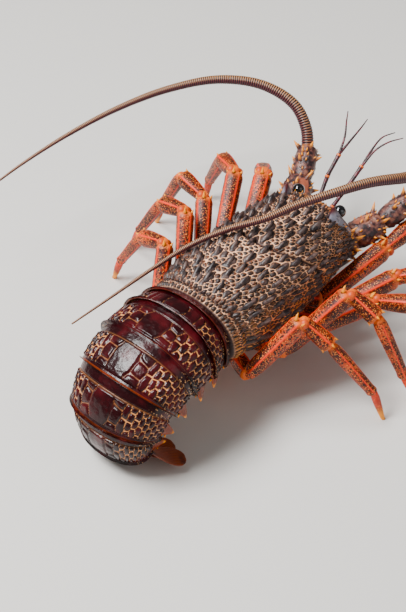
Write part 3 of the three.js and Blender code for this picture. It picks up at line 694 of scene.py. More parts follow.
def scatter_tree():
    """Sets a shape on every point, turned to the point's own directions and sized to its own size."""
    tree = new_tree("Scatter on skin", {"Shape": "Object", "Material": "Material"})
    points, chosen, material = (
        add_node(tree, "NodeGroupInput", (), key) for key in ("Geometry", "Shape", "Material")
    )
    out, ahead, size = (
        add_node(tree, "GeometryNodeInputNamedAttribute", {"Name": key}, data_type="FLOAT_VECTOR")
        for key in ("out", "ahead", "size")
    )
    upright = add_node(tree, "FunctionNodeAlignRotationToVector", {"Vector": out}, axis="Z")
    links = {"Rotation": upright, "Vector": ahead}
    turned = add_node(tree, "FunctionNodeAlignRotationToVector", links, axis="X", pivot_axis="Z")
    shape = add_node(tree, "GeometryNodeObjectInfo", {"Object": chosen}, "Geometry")
    links = {"Points": points, "Instance": shape, "Rotation": turned, "Scale": size}
    placed = add_node(tree, "GeometryNodeInstanceOnPoints", links)
    real = add_node(tree, "GeometryNodeRealizeInstances", {"Geometry": placed})
    painted = add_node(tree, "GeometryNodeSetMaterial", {"Geometry": real, "Material": material})
    add_node(tree, "NodeGroupOutput", {"Geometry": painted})
    return tree


WHIP_SIDES = 14


def whip_tree():
    """Draws a ringed, tapering tube along a line of points, and keeps how far each face looks up, for the
    painted highlight on the rings.
    """
    tree = new_tree("Ringed whip", {"Ring height": "Float", "Material": "Material"})
    line, height, material = (
        add_node(tree, "NodeGroupInput", (), key) for key in ("Geometry", "Ring height", "Material")
    )
    thickness, ring = (
        add_node(tree, "GeometryNodeInputNamedAttribute", {"Name": key}, data_type="FLOAT")
        for key in ("thickness", "ring")
    )
    swell = add_node(tree, "ShaderNodeMath", {0: ring, 1: height, 2: 1.0}, operation="MULTIPLY_ADD")
    radius = add_node(tree, "ShaderNodeMath", {0: swell, 1: thickness}, operation="MULTIPLY")
    path = add_node(tree, "GeometryNodeMeshToCurve", {"Mesh": line})
    section = add_node(tree, "GeometryNodeCurvePrimitiveCircle", {"Resolution": WHIP_SIDES})
    links = {"Curve": path, "Profile Curve": section, "Scale": radius, "Fill Caps": True}
    tube = add_node(tree, "GeometryNodeCurveToMesh", links)
    soft = add_node(tree, "GeometryNodeSetShadeSmooth", {"Geometry": tube})
    # How far each face looks up, which places the painted highlight.
    normal = add_node(tree, "GeometryNodeInputNormal")
    upward = add_node(tree, "ShaderNodeSeparateXYZ", {"Vector": normal}, "Z")
    links = {"Geometry": soft, "Name": "crown", "Value": upward}
    kept = add_node(tree, "GeometryNodeStoreNamedAttribute", links, data_type="FLOAT", domain="POINT")
    painted = add_node(tree, "GeometryNodeSetMaterial", {"Geometry": kept, "Material": material})
    add_node(tree, "NodeGroupOutput", {"Geometry": painted})
    return tree


TREES = {}


def tree_of(build):
    """The tree that a function builds, built once."""
    if build not in TREES:
        TREES[build] = build()
    return TREES[build]


def apart(layer, count):
    """Gives each of the like shapes in a mesh its own square of the map."""
    spots = np.empty(2 * len(layer))
    layer.foreach_get("vector", spots)
    squares = math.ceil(math.sqrt(count))
    corners = np.stack([np.arange(count) % squares, np.arange(count) // squares], -1)[:, None]
    spots = SQUARE_MARGIN + (1 - 2 * SQUARE_MARGIN) * spots.reshape(count, -1, 2)
    layer.foreach_set("vector", ((corners + spots) / squares).ravel())


def grow(name, mesh, build, kind, inputs, replaces=()):
    """Runs a tree on a mesh and keeps the result as a plain piece."""
    inputs = {"Material": look(kind), **inputs}
    source = add_object(name + "_source", mesh)
    modifier = source.modifiers.new(name, "NODES")
    modifier.node_group = tree_of(build)
    for item in modifier.node_group.interface.items_tree:
        if item.in_out == "INPUT" and item.name in inputs:
            modifier[item.identifier] = inputs[item.name]
    bpy.context.view_layer.update()
    graph = bpy.context.evaluated_depsgraph_get()
    made = bpy.data.meshes.new_from_object(source.evaluated_get(graph))
    if BAKE_MAP in made.uv_layers:
        apart(made.uv_layers[BAKE_MAP].uv, len(mesh.vertices))
    bpy.data.objects.remove(source)
    made.name = name
    for index, material in enumerate(made.materials):
        made.materials[index] = material or look(kind)
    settle(name, made, replaces)


def scatter(name, points, shape, kind, **vectors):
    """Sets a shape on a skin at every point, turned and sized by the point's vectors."""
    mesh = points_mesh(name + "_points", points, **vectors)
    grow(name, mesh, scatter_tree, kind, {"Shape": shape})
    bpy.data.objects.remove(shape)


def unit_shape(name, grid, **values):
    """A closed shape one metre in size, with its values, to be set on points."""
    return bpy.data.objects.new(name, dress(name, *closed(grid), at_points(values, *grid.shape[:2])))


def spine_shape(mark, tip_from):
    """A slightly hooked cone with a mark at its foot and the tip's colour from a share of its height."""
    rise = np.array([-0.25, 0.0, 0.3, 0.6, 0.85, 0.98])[:, None]
    angle = circle(8)
    radius = np.clip(1 - np.maximum(rise, 0), 0.03, 1) ** 0.85
    grid = np.stack(
        [radius * np.cos(angle) + 0.25 * rise**2, radius * np.sin(angle), rise + 0 * angle], -1
    )
    return unit_shape("spine", grid, tip=smooth(tip_from, tip_from + 0.45, rise), mark=mark)


def scale_shape():
    """A low scale that lies along X, widest behind its middle, and rises to a blunt point in front."""
    reach = np.array([-0.5, -0.4, -0.15, 0.15, 0.38, 0.52])[:, None]
    width = np.array([0.14, 0.38, 0.5, 0.44, 0.26, 0.04])[:, None]
    height = np.array([0.05, 0.4, 0.75, 0.95, 1.0, 0.75])[:, None]
    angle = circle(10)
    lifted = np.where(np.cos(angle) > 0, np.abs(np.cos(angle)) ** 0.5 * height, -0.45)
    grid = np.stack([reach + 0.1 * lifted, width * np.sin(angle), lifted], -1)
    return unit_shape("scale", grid, mark=np.where(lifted > 0.1, 1.0, 0.5))


def spikes(name, spines, kind, tip_from, mark=0.0):
    """Spines on a skin: each has its root, its direction, and its radius and length in millimetres."""
    roots, directions, radii, lengths = (np.array(part) for part in zip(*spines))
    directions = unit(directions)
    steep = np.abs(directions[:, :1]) > 0.9
    ahead = unit(np.cross(directions, np.where(steep, UPWARDS, RIGHTWARDS)))
    size = np.stack([radii, radii, lengths], -1) * MM
    scatter(name, roots, spine_shape(mark, tip_from), kind, out=directions, ahead=ahead, size=size)


# Skins with plates and knobs

# Millimetres from a blob at which a point counts as bare, and round a blob within which it is looked for.
BARE, BLOB_REACH = 6.0, 4


def round_back(degrees, back, belly):
    """Angles of the back's columns, all angles once round, and degrees of each from the middle."""
    top = np.radians(np.linspace(-degrees, degrees, back))
    under = np.radians(np.linspace(degrees, 360 - degrees, belly))[1:-1]
    angle = np.concatenate([top, under])[None, :]
    return top, angle, np.degrees(np.abs(wrapped(angle)))


def blob_field(x, y, blobs, columns):
    """The nearest of many round or long blobs over a grid, in millimetres.

    Returns how far each point is outside its blob, how far it is from the border to the next one,
    its place along its blob from -1 to 1, and its blob's height and mark, all nought in the columns
    past y. A blob is its place, half its length and breadth, its height and its mark.
    """
    best, second = np.full((2, len(x), len(y)), BARE)
    ahead, height, mark = np.zeros((3, len(x), len(y)))
    for cx, cy, a, b, h, m in blobs:
        rows = slice(*np.searchsorted(x, (cx - a - BLOB_REACH, cx + a + BLOB_REACH)))
        cols = slice(*np.searchsorted(y, (cy - b - BLOB_REACH, cy + b + BLOB_REACH)))
        window = (rows, cols)
        u = (x[rows, None] - cx) / a
        d = (np.hypot(u, (y[None, cols] - cy) / b) - 1) * b
        nearer = d < best[window]
        second[window] = np.where(nearer, best[window], np.minimum(second[window], d))
        for field, value in ((best, d), (ahead, u), (height, h), (mark, m)):
            field[window] = np.where(nearer, value, field[window])
    fields = (best, (second - best) / 2, ahead, height, mark)
    return [np.pad(field, ((0, 0), (0, columns - len(y)))) for field in fields]


# Carapace

CARAPACE_GRID = {"degrees": 118, "back": 356, "belly": 46}
CARAPACE_ROWS, CARAPACE_LIP = (1.018, 239), (1.027, 1.036, 1.045)
RIM_RIBS = (0.25, 230)  # their height, and radians of their wave over the carapace's length
# Rows of large scales: how many, the first one's place and their step. In a row: how many to each
# side of the middle, and degrees between two.
SCALE_ROWS, SCALE_COLUMNS = (10, 0.125, 0.085), (6, 15)
# Two lines of scales in front are spines: their first place, their angle from the middle, how far
# from it a scale still counts, and their length, breadth and height as shares of a scale's.
SPINY_FROM, SPINY_ANGLE, SPINY_REACH = 0.6, math.radians(24), 0.13
SPINY_SIZE = (0.93, 1.3, 1.7)
# Middling scales between the large ones: tries, how many are kept, and half their length and breadth.
MIDDLING = (2600, 230, 2.8, 1.5)
# The height and mark of the skin under a scale. Marks over SCALY are scales, and under it knobs.
SCALE_BLOB, MIDDLING_HEIGHT, MIDDLING_MARKS = (1.4, 1.0), 1.35, (0.62, 0.9)
KNOB_MARK, SCALY = 0.55, 0.6


def large_scales(random, sizes):
    """Place, angle, length, breadth and height of every large scale of the carapace."""
    common = np.array([sizes.scale_length, 0.35 * sizes.scale_length, sizes.scale_height]) / MM
    rows, first, step = SCALE_ROWS
    columns, degrees = SCALE_COLUMNS
    scales = []
    for row in range(rows):
        place = first + row * step
        if abs(place - GROOVE_PLACE) < GROOVE_ROOM:
            continue
        stagger = row % 2 / 2
        for column in np.arange(-columns, columns + 0.5 - 2 * stagger):
            angle = (column + stagger) * math.radians(degrees)
            size = random.uniform(0.82, 1.18)
            spiny = place > SPINY_FROM and abs(abs(angle) - SPINY_ANGLE) < SPINY_REACH
            length, breadth, height = common * (SPINY_SIZE if spiny else (1, 1, 1))
            outer = smooth(math.radians(25), math.radians(60), abs(angle))
            size *= 1 - 0.2 * outer - 0.3 * outer * smooth(0.68, 0.9, place)
            shift = random.uniform(-1, 1, 2) * (0.012, math.radians(2.5))
            scales.append(
                (place + shift[0], angle + shift[1], length * size, breadth * size, height * size)
            )
    return scales


def carapace_blobs(scales, sizes, random, length, width):
    """The large scales, the middling ones between them and the small knobs that fill the rest."""
    blobs = [
        (place * length - 0.4, angle * SHELL_RADIUS, long * 0.5, broad * 0.52, *SCALE_BLOB)
        for place, angle, long, broad, __ in scales
    ]

    def free(x, y, room):
        cx, cy, a, b, *__ = np.array(blobs).T
        return ((np.hypot((cx - x) / a, (cy - y) / b) - 1) * b).min() > room

    tries, most, long, broad = MIDDLING
    most += len(blobs)
    for __ in range(tries):
        x, y = random.uniform(6.5, length), random.uniform(-width, width)
        size = random.uniform(0.65, 1.1)
        if len(blobs) < most and free(x, y, 1.6 * size):
            mark = random.uniform(*MIDDLING_MARKS)
            blobs.append((x, y, long * size, broad * size, MIDDLING_HEIGHT, mark))
    spacing = sizes.knob_spacing / MM
    for number, x in enumerate(np.arange(2.6, length, spacing * 0.87)):
        for y in np.arange(-width, width, spacing) + (number % 2) * spacing / 2:
            px, py = random.uniform(-0.2, 0.2, 2) * spacing + (x, y)
            if free(px, py, 0.75):
                radius = random.uniform(0.75, 1.2) * (1.15 - 0.15 * smooth(25, 45, px))
                blobs.append((px, py, radius * 1.1, radius, sizes.knob_height / MM, KNOB_MARK))
    return blobs


def carapace_skin(scales, sizes, random):
    """The carapace's skin, raised under scales and knobs, with painted shade in its grooves and where it
    turns under in front, and a dark, ribbed rear rim.
    """
    length = sizes.carapace_length / MM
    top, angle, facing = round_back(**CARAPACE_GRID)
    place = np.concatenate([np.linspace(0, *CARAPACE_ROWS), CARAPACE_LIP])
    blobs = carapace_blobs(scales, sizes, random, 1.02 * length, top[-1] * SHELL_RADIUS)
    outside, border, ahead, height, mark = blob_field(
        place * length, top * SHELL_RADIUS, blobs, angle.size
    )
    place = place[:, None]
    rim = 1 - smooth(0.006, 0.012, place)
    groove = hump(place, GROOVE_PLACE, GROOVE_WIDTH)
    rear_groove = hump(place, REAR_GROOVE_PLACE, REAR_GROOVE_SHADE)
    side = np.maximum(
        smooth(45, 95, facing), 0.7 * smooth(0.72, 0.95, place) * smooth(20, 50, facing)
    )
    raised = (1 - rim) * (1 - 0.8 * groove) * (1 - smooth(108, 118, facing))
    raised = raised * (1 - smooth(1.008, 1.02, place))
    crowded = 1 - smooth(0.15, 0.4, place)
    cover = smooth(0.1 - 0.06 * crowded, 0.38 - 0.1 * crowded, border)
    cover = cover * (1 - smooth(0.7, 1.4, outside)) * raised
    # Painted shade: the grooves and the front, where the shell turns under, are darkened. The rear rim's dark
    # band is its own colour.
    dark = np.maximum(rim, np.maximum(groove, 0.6 * rear_groove)) + 0.8 * smooth(1.005, 1.02, place)
    dome = smooth(0.0, 0.95, border) * (1 - smooth(-0.2, 1.2, outside)) * raised
    ribs = rim * RIM_RIBS[0] * np.sin(place * RIM_RIBS[1])
    lift = dome * height * (1 + 0.35 * ahead * (mark > SCALY)) + ribs
    core = smooth(0.6, 1.0, dome) * (mark < SCALY) * (0.06 + 0.45 * side)
    return sheet(
        carapace_surface(place, angle), lift, pole=(0, 1.2), mark=cover * mark, tip=core,
        edge=np.minimum(dark, 1), side=side * (1 - rim),
    )


def carapace_scales(scales, sizes):
    """The large scales, which lean forward on the skin."""
    place, angle, *spans = np.array(scales).T
    root = carapace_surface(place, angle)
    forth = unit(carapace_surface(place + 0.01, angle) - root)
    aside = unit(carapace_surface(place, angle + 0.02) - root)
    out = unit(np.cross(forth, aside))
    axis = at(place * sizes.carapace_length / MM, 0, AXIS_HEIGHT)
    out *= np.sign(((root - axis) * out).sum(axis=1))[:, None]
    scatter(
        "carapace_scales", root + out * 0.3, scale_shape(), "shell", out=unit(out - 0.18 * forth),
        ahead=forth + 0.18 * out, size=np.stack(spans, -1) * MM,
    )


class LOBSTER_OT_carapace(bpy.types.Operator):
    """Builds the carapace's skin with its knobs, and the large scales on it"""

    bl_idname = "lobster.carapace"
    bl_label = "Carapace"

    def execute(self, context):
        sizes = context.scene.lobster_sizes
        random = np.random.default_rng(sizes.seed)
        scales = large_scales(random, sizes)
        piece("carapace", [carapace_skin(scales, sizes, random)], "shell")
        carapace_scales(scales, sizes)
        return {"FINISHED"}


# Head

HORN = {"root": (131, 24, 66), "tip": (127, 20, 92.5)}
HORN_ASKEW, HORN_BEND = math.radians(30), 1.5  # how far it is turned out, and millimetres of bend
HORN_ROWS = [[0, 5.8, 9.5], [0.3, 5, 8], [0.55, 3.9, 5.9], [0.8, 2.3, 3.3], [1, 0.4, 0.5]]
EYE = {"stalk": (126, 12, 71), "ball": (138, 18, 80)}
EYE_RADIUS = 4.6
STALK_ROWS = [[0, 2.8, 2.8], [0.6, 3.6, 3.6], [0.9, 4.1, 4.1]]
# Large spines of the front: root, tip and radius.
FRONT_SPINES = [
    [(126, 0, 76), (143, 0, 83), 3.2],
    [(122, 31, 64), (144, 37.5, 66), 4],
    [(113, 36, 57), (125, 41, 58), 2.6],
]
# Smaller spines along the front edge: place, angle from the middle of the back, length.
FRONT_EDGE = [
    (0.99, 14, 5), (1.0, 26, 4), (1.0, 66, 5), (1.0, 80, 6), (0.98, 92, 5), (1.0, 104, 4),
    (0.95, 70, 5), (0.93, 84, 6), (0.9, 96, 5), (0.95, 50, 5), (0.93, 8, 6), (0.86, 88, 5),
]  # fmt: skip
# Many tiny ones: lowest and highest place, angle and length, and how many.
FRONT_STUBBLE = ((0.985, -100, 1.6), (1.04, 100, 3.6), (90, 3))
FACE = {"forward": 136.2, "right": 22, "middle": 65.5, "up": 16.5, "bulge": 2.4, "knob": 2.6}


def horn(side):
    """A flat, fluted horn over an eye."""
    askew = FORWARDS * math.cos(HORN_ASKEW) + RIGHTWARDS * side * math.sin(HORN_ASKEW)
    points, share, angle = limb(
        *mirrored(HORN.values(), side), HORN_ROWS, up=askew, bend=HORN_BEND, rings=60, sides=40,
        ends=(0.1, 0.5),
    )
    flutes = 0.3 * np.cos(angle * 5) * (1 - share) * (share > 0.2)
    rim = np.abs(np.cos(angle)) ** 10 * smooth(0.1, 0.3, share)
    return sheet(points, flutes, tip=smooth(0.7, 0.98, share), edge=0.8 * rim)


def eye(side):
    """A round eye on its stalk."""
    root, centre = mirrored(EYE.values(), side)
    stalk, *__ = limb(root, centre, STALK_ROWS, rings=24, sides=24)
    return [sheet(stalk), sheet(ball(centre, EYE_RADIUS, rings=28, sides=36, gap=0.01), mark=1.0)]


def face_plate(random):
    """The knobbly plate between the eyes and the mouth, which closes the carapace in front."""
    rise = np.concatenate([np.linspace(0.1, 0.96, 6), np.linspace(1, 0.03, 44)])[:, None]
    turn = circle(160)
    front = smooth(5.5, 6.5, np.arange(len(rise)))[:, None]
    x = FACE["right"] * rise * bulge(np.sin(turn), 0.85)
    z = FACE["up"] * rise * bulge(np.cos(turn), 0.85)
    step = FACE["knob"]
    spots = np.array([
        (right + row % 2 * step / 2, row * step * 0.87)
        for row in range(-8, 9)
        for right in np.arange(-FACE["right"], FACE["right"] + 1, step)
    ])
    spots += random.uniform(-0.9, 0.9, (len(spots), 2))
    grown, warm = random.uniform((0.7, 0.1), (1.15, 0.9), (len(spots), 2)).T
    away = np.hypot(x[..., None] - spots[:, 0], z[..., None] - spots[:, 1]) / grown
    first, second = np.moveaxis(np.sort(away, axis=-1)[..., :2], -1, 0)
    dome = smooth(0.0, 0.9, (second - first) / 2) * (1 - smooth(0.6, 1.5, first)) * front
    brow = hump(z, 7 + 0.012 * x * x, 1.8) * front
    out = FACE["bulge"] * (1 - rise**2) * front - 6 * (1 - front) + 1.3 * dome + 1.8 * brow
    return sheet(
        at(FACE["forward"] + out, x, FACE["middle"] + z), mark=0.55 * smooth(0.05, 0.45, dome),
        tip=warm[away.argmin(axis=-1)] * smooth(0.45, 1, dome), side=1 - 0.5 * brow,
        # The edge value paints shade into the low ground between the knobs.
        edge=0.5 * (1 - dome),
    )


def edge_spine(place, degrees, radius, length, behind, forth):
    """A spine on the carapace that points away from a place behind it on the axis, and forward."""
    root = carapace_surface(place, math.radians(degrees))
    shell = bpy.context.scene.lobster_sizes.carapace_length / MM
    out = unit(root - at(place * shell - behind, 0, AXIS_HEIGHT))
    return root, out + FORWARDS * forth, radius, length


def front_spines(side):
    """The spines on one side of the carapace's front. The middle one counts to the right."""
    spines = []
    for root, tip, radius in FRONT_SPINES:
        if side > 0 or root[1] > 0:
            start, end = mirrored((root, tip), side)
            spines.append((start, end - start, radius, np.linalg.norm(end - start)))
    for place, degrees, length in FRONT_EDGE:
        spines.append(edge_spine(place, degrees * side, 0.3 * length, length, behind=14, forth=0.6))
    return spines


class LOBSTER_OT_head(bpy.types.Operator):
    """Builds the horns, the eyes, the plate between them and the spines along the front edge"""

    bl_idname = "lobster.head"
    bl_label = "Head"

    def execute(self, context):
        spines = []
        for name, side in SIDES.items():
            piece(f"horn_{name}", [horn(side)], "horn")
            piece(f"eye_{name}", eye(side), "eye")
            spines += front_spines(side)
        random = np.random.default_rng(context.scene.lobster_sizes.seed + 3)
        piece("face", [face_plate(random)], "shell", replaced=False)
        for place, degrees, length in random.uniform(*FRONT_STUBBLE):
            spines.append(edge_spine(place, degrees, 0.75, length, behind=30, forth=0.3))
        spikes("front_spines", spines, "shell", tip_from=0.5, mark=1.0)
        return {"FINISHED"}


# Tail

TAIL_GRID = {"degrees": 112, "back": 230, "belly": 42}
TAIL_RADIUS = 37  # turns an angle round the tail into millimetres
# Rings of a segment up to its rear edge, how far it starts under the one before, and the rings that
# turn in past its rear edge: millimetres behind it and under it.
TAIL_RINGS, TAIL_OVERLAP = 96, 2.6
REAR_LIP = {"behind": np.array([0.25, 0.35, 0.3]), "under": [-0.5, -1.4, -2.6]}
PLATED = (0.26, 0.93)  # shares of a segment between which its plates lie
# Columns of plates across a tail segment: distance from the middle, half a plate's length and breadth.
PLATE_COLUMNS = [(0, 7, 8.2), (12.6, 4.4, 3.6), (19, 3, 2.6)]
PLATE_COLUMNS += [(y, 2.7, 2.4) for y in np.arange(24, 72, 4.8)]
FLAP = {"length": 15, "breadth": 5.2, "thickness": 1.7}
FIRST_FLAP = 0.6  # size of the first segment's flap, as a share of the others
# Spines on a flap: their places along it, and their radius and length.
FLAP_SPINES = ((0.35, 0.55), 1.1, 3.2)


def tail_blobs(random, span):
    """The plates of one tail segment, large on the back and small on the sides."""
    low, high = np.array(PLATED) * span
    blobs = []
    for number, (y, half_length, b) in enumerate(PLATE_COLUMNS):
        rows = max(round((high - low) / (2 * half_length)), 1)
        a = (high - low) / rows / 2
        stagger = a * (number % 2) * (rows > 1)
        for row in range(rows + (stagger > 0)):
            for sign in (1, -1) if y else (1,):
                dx, dy = random.uniform(-0.3, 0.3, 2) * (a, b) * (rows > 1)
                x = low + a * (2 * row + 1) - stagger + dx
                grown = random.uniform(0.7, 1.0)
                blobs.append((x, sign * (y + dy), a * 0.9 * grown, b * 0.9 * grown, 1.0, 1.0))
    return blobs


def tail_skin(index, random, rise):
    """One tail segment: a smooth band, a groove, plates parted by seams, and a turned-in rear edge."""
    start, end = SOMITE_ENDS[index : index + 2]
    span = end - start
    top, angle, facing = round_back(**TAIL_GRID)
    share = np.concatenate(
        [np.linspace(-TAIL_OVERLAP / span, 1, TAIL_RINGS), 1 + REAR_LIP["behind"] / span]
    )
    border = blob_field(share * span, top * TAIL_RADIUS, tail_blobs(random, span), angle.size)[1]
    share = share[:, None]
    lip = np.pad(REAR_LIP["under"], (TAIL_RINGS, 0))[:, None]
    plated = index > 0
    band = smooth(0.24, 0.28, share) * (1 - smooth(0.9, 0.94, share)) * plated
    band = band * (1 - smooth(96, 106, facing))
    seam = (1 - smooth(0.08, 0.36, border)) * band
    line = hump(share, 0.25, 0.022) * plated
    lift = rise * (band * smooth(0.1, 1.3, border) - 0.9 * line)
    lift = lift + lip + 0.3 * smooth(0.94, 0.98, share)
    fringe = smooth(0.975, 0.995, share) * (lip > -2)
    speckled = smooth(45, 75, facing) * (1 - band) * smooth(-0.1, 0, share) * (1 - fringe)
    return sheet(
        somite_surface(index, share, angle), lift, edge=0.5 * fringe, side=speckled,
        mark=np.maximum(seam * (0.3 + 0.6 * smooth(20, 38, facing)), 0.25 * line),
    )


def side_flap(index, side):
    """The flap that hangs from one side of a tail segment, and the spines on its rear edge."""
    start, end = SOMITE_ENDS[index : index + 2]
    middle = start + (end - start) * 0.55
    half = read_table(TAIL_SECTION, middle)[0]
    small = 1.0 if index else FIRST_FLAP
    reach, breadth, thick = FLAP["length"] * small, FLAP["breadth"] * small, FLAP["thickness"]
    rows = [
        [0, breadth, thick * 1.5], [0.45, breadth * 0.8, thick], [0.8, breadth * 0.4, thick * 0.7],
        [1, 0.5, 0.4],
    ]  # fmt: skip
    root = tail_surface(middle, side * (half - 3.5), 1)
    tip = tail_surface(middle + reach * 0.45, side * (half + 1), -reach)
    points, share, angle = limb(root, tip, rows, up=RIGHTWARDS * side, sides=28, ends=(0.5, 0.4))
    rim = np.abs(np.sin(angle)) ** 6 * smooth(0.2, 0.5, share)
    skin = sheet(points, edge=0.4 + 0.5 * rim, tip=smooth(0.75, 1, share))
    back = unit(tail_surface(middle + 6, 0, 0) - tail_surface(middle, 0, 0))
    lean = back + unit(tip - root) * 0.9
    places, radius, length = FLAP_SPINES
    spines = [
        (root + (tip - root) * place + back * breadth * 0.62, lean, radius * small, length * small)
        for place in places
    ]
    return skin, spines


class LOBSTER_OT_tail(bpy.types.Operator):
    """Builds the six tail segments with their plates, side flaps and spines"""

    bl_idname = "lobster.tail"
    bl_label = "Tail"

    def execute(self, context):
        sizes = context.scene.lobster_sizes
        random = np.random.default_rng(sizes.seed + 1)
        spines = []
        for index in range(len(SOMITE_ENDS) - 1):
            sheets = [tail_skin(index, random, sizes.plate_height / MM)]
            for side in SIDES.values():
                flap, edge = side_flap(index, side)
                sheets.append(flap)
                spines += edge
            piece(f"tail_{index + 1}", sheets, "tail")
        spikes("tail_spines", spines, "tail", tip_from=0.0)
        return {"FINISHED"}


# Tail fan

BLADE_ROWS = [[0, 0.42], [0.15, 0.6], [0.4, 0.86], [0.65, 1], [0.85, 0.9], [0.96, 0.6], [1, 0.3]]
# Blades: how far to the right each is rooted, degrees it turns out, length, half its breadth, layer.
FAN = {
    "telson": (0, 0, 44, 13.5, 0.6),
    "inner": (11, 17, 41, 10.5, -2),
    "outer": (15.5, 36, 40, 10.5, -4.6),
}
FAN_ROOT = 101.5  # millimetres along the tail's axis
FAN_RAYS = 11  # ribs across a blade


def fan_blade(name, side):
    """One blade of the tail fan, with ribs that run to its edge."""
    right, degrees, length, half, layer = FAN[name]
    sine, cosine = math.sin(math.radians(degrees)), math.cos(math.radians(degrees))
    share = np.linspace(0, 1, 70)[:, None]
    around = circle(120)
    half = half * read_table(BLADE_ROWS, share)[..., 0]
    aside = np.sin(around) * half
    rays = 0.5 + 0.5 * np.cos(aside / (half + 0.1) * math.pi * FAN_RAYS)
    thick = (1 - 0.4 * share) * (1 + 0.3 * rays * smooth(0.1, 0.3, share))
    points = tail_surface(
        FAN_ROOT + share * length * cosine - aside * sine,
        side * (right + share * length * sine + aside * cosine),
        layer + bulge(np.cos(around), 0.8) * thick,
    )
    return sheet(points, mark=0.7 * rays * smooth(0.2, 0.4, share), side=smooth(0.2, 0.5, share))


class LOBSTER_OT_fan(bpy.types.Operator):
    """Builds the five ribbed blades of the tail fan"""

    bl_idname = "lobster.fan"
    bl_label = "Tail fan"

    def execute(self, context):
        blades = {"telson": ("telson", 1)}
        for name, side in SIDES.items():
            for blade in ("inner", "outer"):
                blades[f"uropod_{name}_{blade}"] = (blade, side)
        for node, (blade, side) in blades.items():
            piece(node, [fan_blade(blade, side)], "fan", floor=True)
        return {"FINISHED"}


# Antenna joints

ANTENNA_JOINTS = [(115, 18, 57), (143, 27, 57), (166, 36, 62), (187, 46, 75)]
ANTENNA_SECTIONS = [
    [[0, 10, 10], [0.3, 12.2, 11.5], [0.8, 12.4, 11.2], [1, 10, 9.5]],
    [[0, 9, 8.6], [0.25, 10.8, 9.8], [0.8, 10.2, 9.4], [1, 8, 7.6]],
    [[0, 7, 6.6], [0.3, 8.4, 7.8], [0.8, 7.6, 7.2], [1, 6, 5.8]],
]
# Spines of each joint: share of its length, degrees round it, height and lean.
ANTENNA_SPINES = [
    [(0.72, 78, 6, 5), (0.8, 20, 6, 5), (0.85, -60, 5, 4), (0.75, 130, 5, 4)],
    [(0.5, 0, 5, 3), (0.85, 40, 7, 5), (0.85, -35, 7, 5), (0.6, 90, 6, 4), (0.85, 140, 6, 4),
     (0.7, -100, 6, 4)],
    [(0.45, 20, 5, 3), (0.85, 60, 6, 4), (0.85, -20, 6, 4), (0.6, -75, 5, 3), (0.8, 130, 5, 3),
     (0.8, -125, 5, 3)],
]  # fmt: skip
# Lowest and highest values and counts: place, turn and radius of knobs, place, degrees and height of
# small spines.
ANTENNA_KNOBS = ((0.1, 0, 0.9), (0.95, 2 * math.pi, 1.9), (70, 3))
ANTENNA_STUBBLE = ((0.15, -180, 1.5), (0.95, 180, 3.4), (30, 3))
# Millimetres that a joint's length and a radian round it stand for, where its knobs are laid out.
KNOB_SPAN = (27, 9.5)
PAD_TURN = math.radians(-25)  # where the worn pad lies round a joint


def limb_spine(start, end, rows, share, degrees, height, lean, radius, length=None):
    """A spine on a straight limb: its root, direction, radius and length."""
    span, along, deep, broad = limb_frame(start, end, UPWARDS)
    breadth, depth = read_table(rows, share) * 0.93
    aside, above = broad * math.sin(math.radians(degrees)), deep * math.cos(math.radians(degrees))
    root = start + along * share * span + aside * breadth + above * depth
    direction = (aside + above) * height + along * lean
    return root, direction, radius, length or np.linalg.norm(direction)


def antenna_joint(index, side, random):
    """A heavy joint of an antenna, with knobs and a worn pad, and its spines."""
    start, end = mirrored(ANTENNA_JOINTS[index : index + 2], side)
    rows = ANTENNA_SECTIONS[index]
    points, share, angle = limb(start, end, rows, power=0.95, rings=70, sides=72, ends=(1.5, 2.5))
    knobs = np.zeros(share.shape)
    for place, turn, radius in random.uniform(*ANTENNA_KNOBS):
        d = np.hypot((share - place) * KNOB_SPAN[0], wrapped(angle - turn) * KNOB_SPAN[1]) / radius
        knobs = np.maximum(knobs, np.clip(1 - d * d, 0, 1) * radius / 2)
    turned = wrapped(angle - side * PAD_TURN)
    pad = (1 - smooth(0.75, 1, np.hypot((share - 0.5) / 0.36, turned / 0.6))) * (index < 2)
    band = smooth(0.9, 0.95, share)
    lift = 0.7 * knobs * (1 - band) * (1 - pad) - 0.8 * pad
    skin = sheet(points, lift, mark=np.maximum(0.8 * pad, 0.5 * band), tip=0.5 * band)
    small = [(*spine, 2) for spine in random.uniform(*ANTENNA_STUBBLE)]
    spines = [
        limb_spine(start, end, rows, place, degrees * side, height, lean, min(1.9, 0.5 + 0.28 * height))
        for place, degrees, height, lean in ANTENNA_SPINES[index] + small
    ]
    return skin, spines


class LOBSTER_OT_antennae(bpy.types.Operator):
    """Builds the three heavy, spiny joints of each antenna"""

    bl_idname = "lobster.antennae"
    bl_label = "Antenna joints"

    def execute(self, context):
        random = np.random.default_rng(context.scene.lobster_sizes.seed + 2)
        for name, side in SIDES.items():
            spines = []
            for index in range(len(ANTENNA_SECTIONS)):
                skin, grown = antenna_joint(index, side, random)
                piece(f"antenna_{name}_joint_{index + 1}", [skin], "peduncle")
                spines += grown
            spikes(f"antenna_{name}_spines", spines, "peduncle", tip_from=0.15)
        return {"FINISHED"}


# Antenna whips

WHIPS = {
    "right": [
        (185, 45, 73), (188, 48, 86), (182, 50, 100), (163, 48, 110), (141, 38, 115), (117, 26, 115),
        (95, 12, 111), (76, 0, 105), (58, -18, 97), (38, -34, 87), (14, -46, 76), (-18, -56, 66),
        (-48, -63, 60),
    ],
    "left": [
        (185, -45, 73), (191, -52, 86), (194, -66, 99), (188, -91, 108), (168, -117, 112),
        (138, -139, 110), (104, -157, 104), (66, -172, 95), (28, -184, 84), (-10, -193, 72),
    ],
}  # fmt: skip
WHIP_POINTS = 2400
WHIP_PARTS = {"root": (0.0, 0.5), "tip": (0.4985, 1.0)}
RING_HEIGHT = 0.12  # as a share of the whip's radius
RING_FOOT = 0.96  # radius between two rings, as a share of the solid's
CURVE_STEPS = 60


def mixed(a, b, t, low, high):
    """From a to b as t runs from low to high."""
    return a + (b - a) * (t - low) / (high - low)


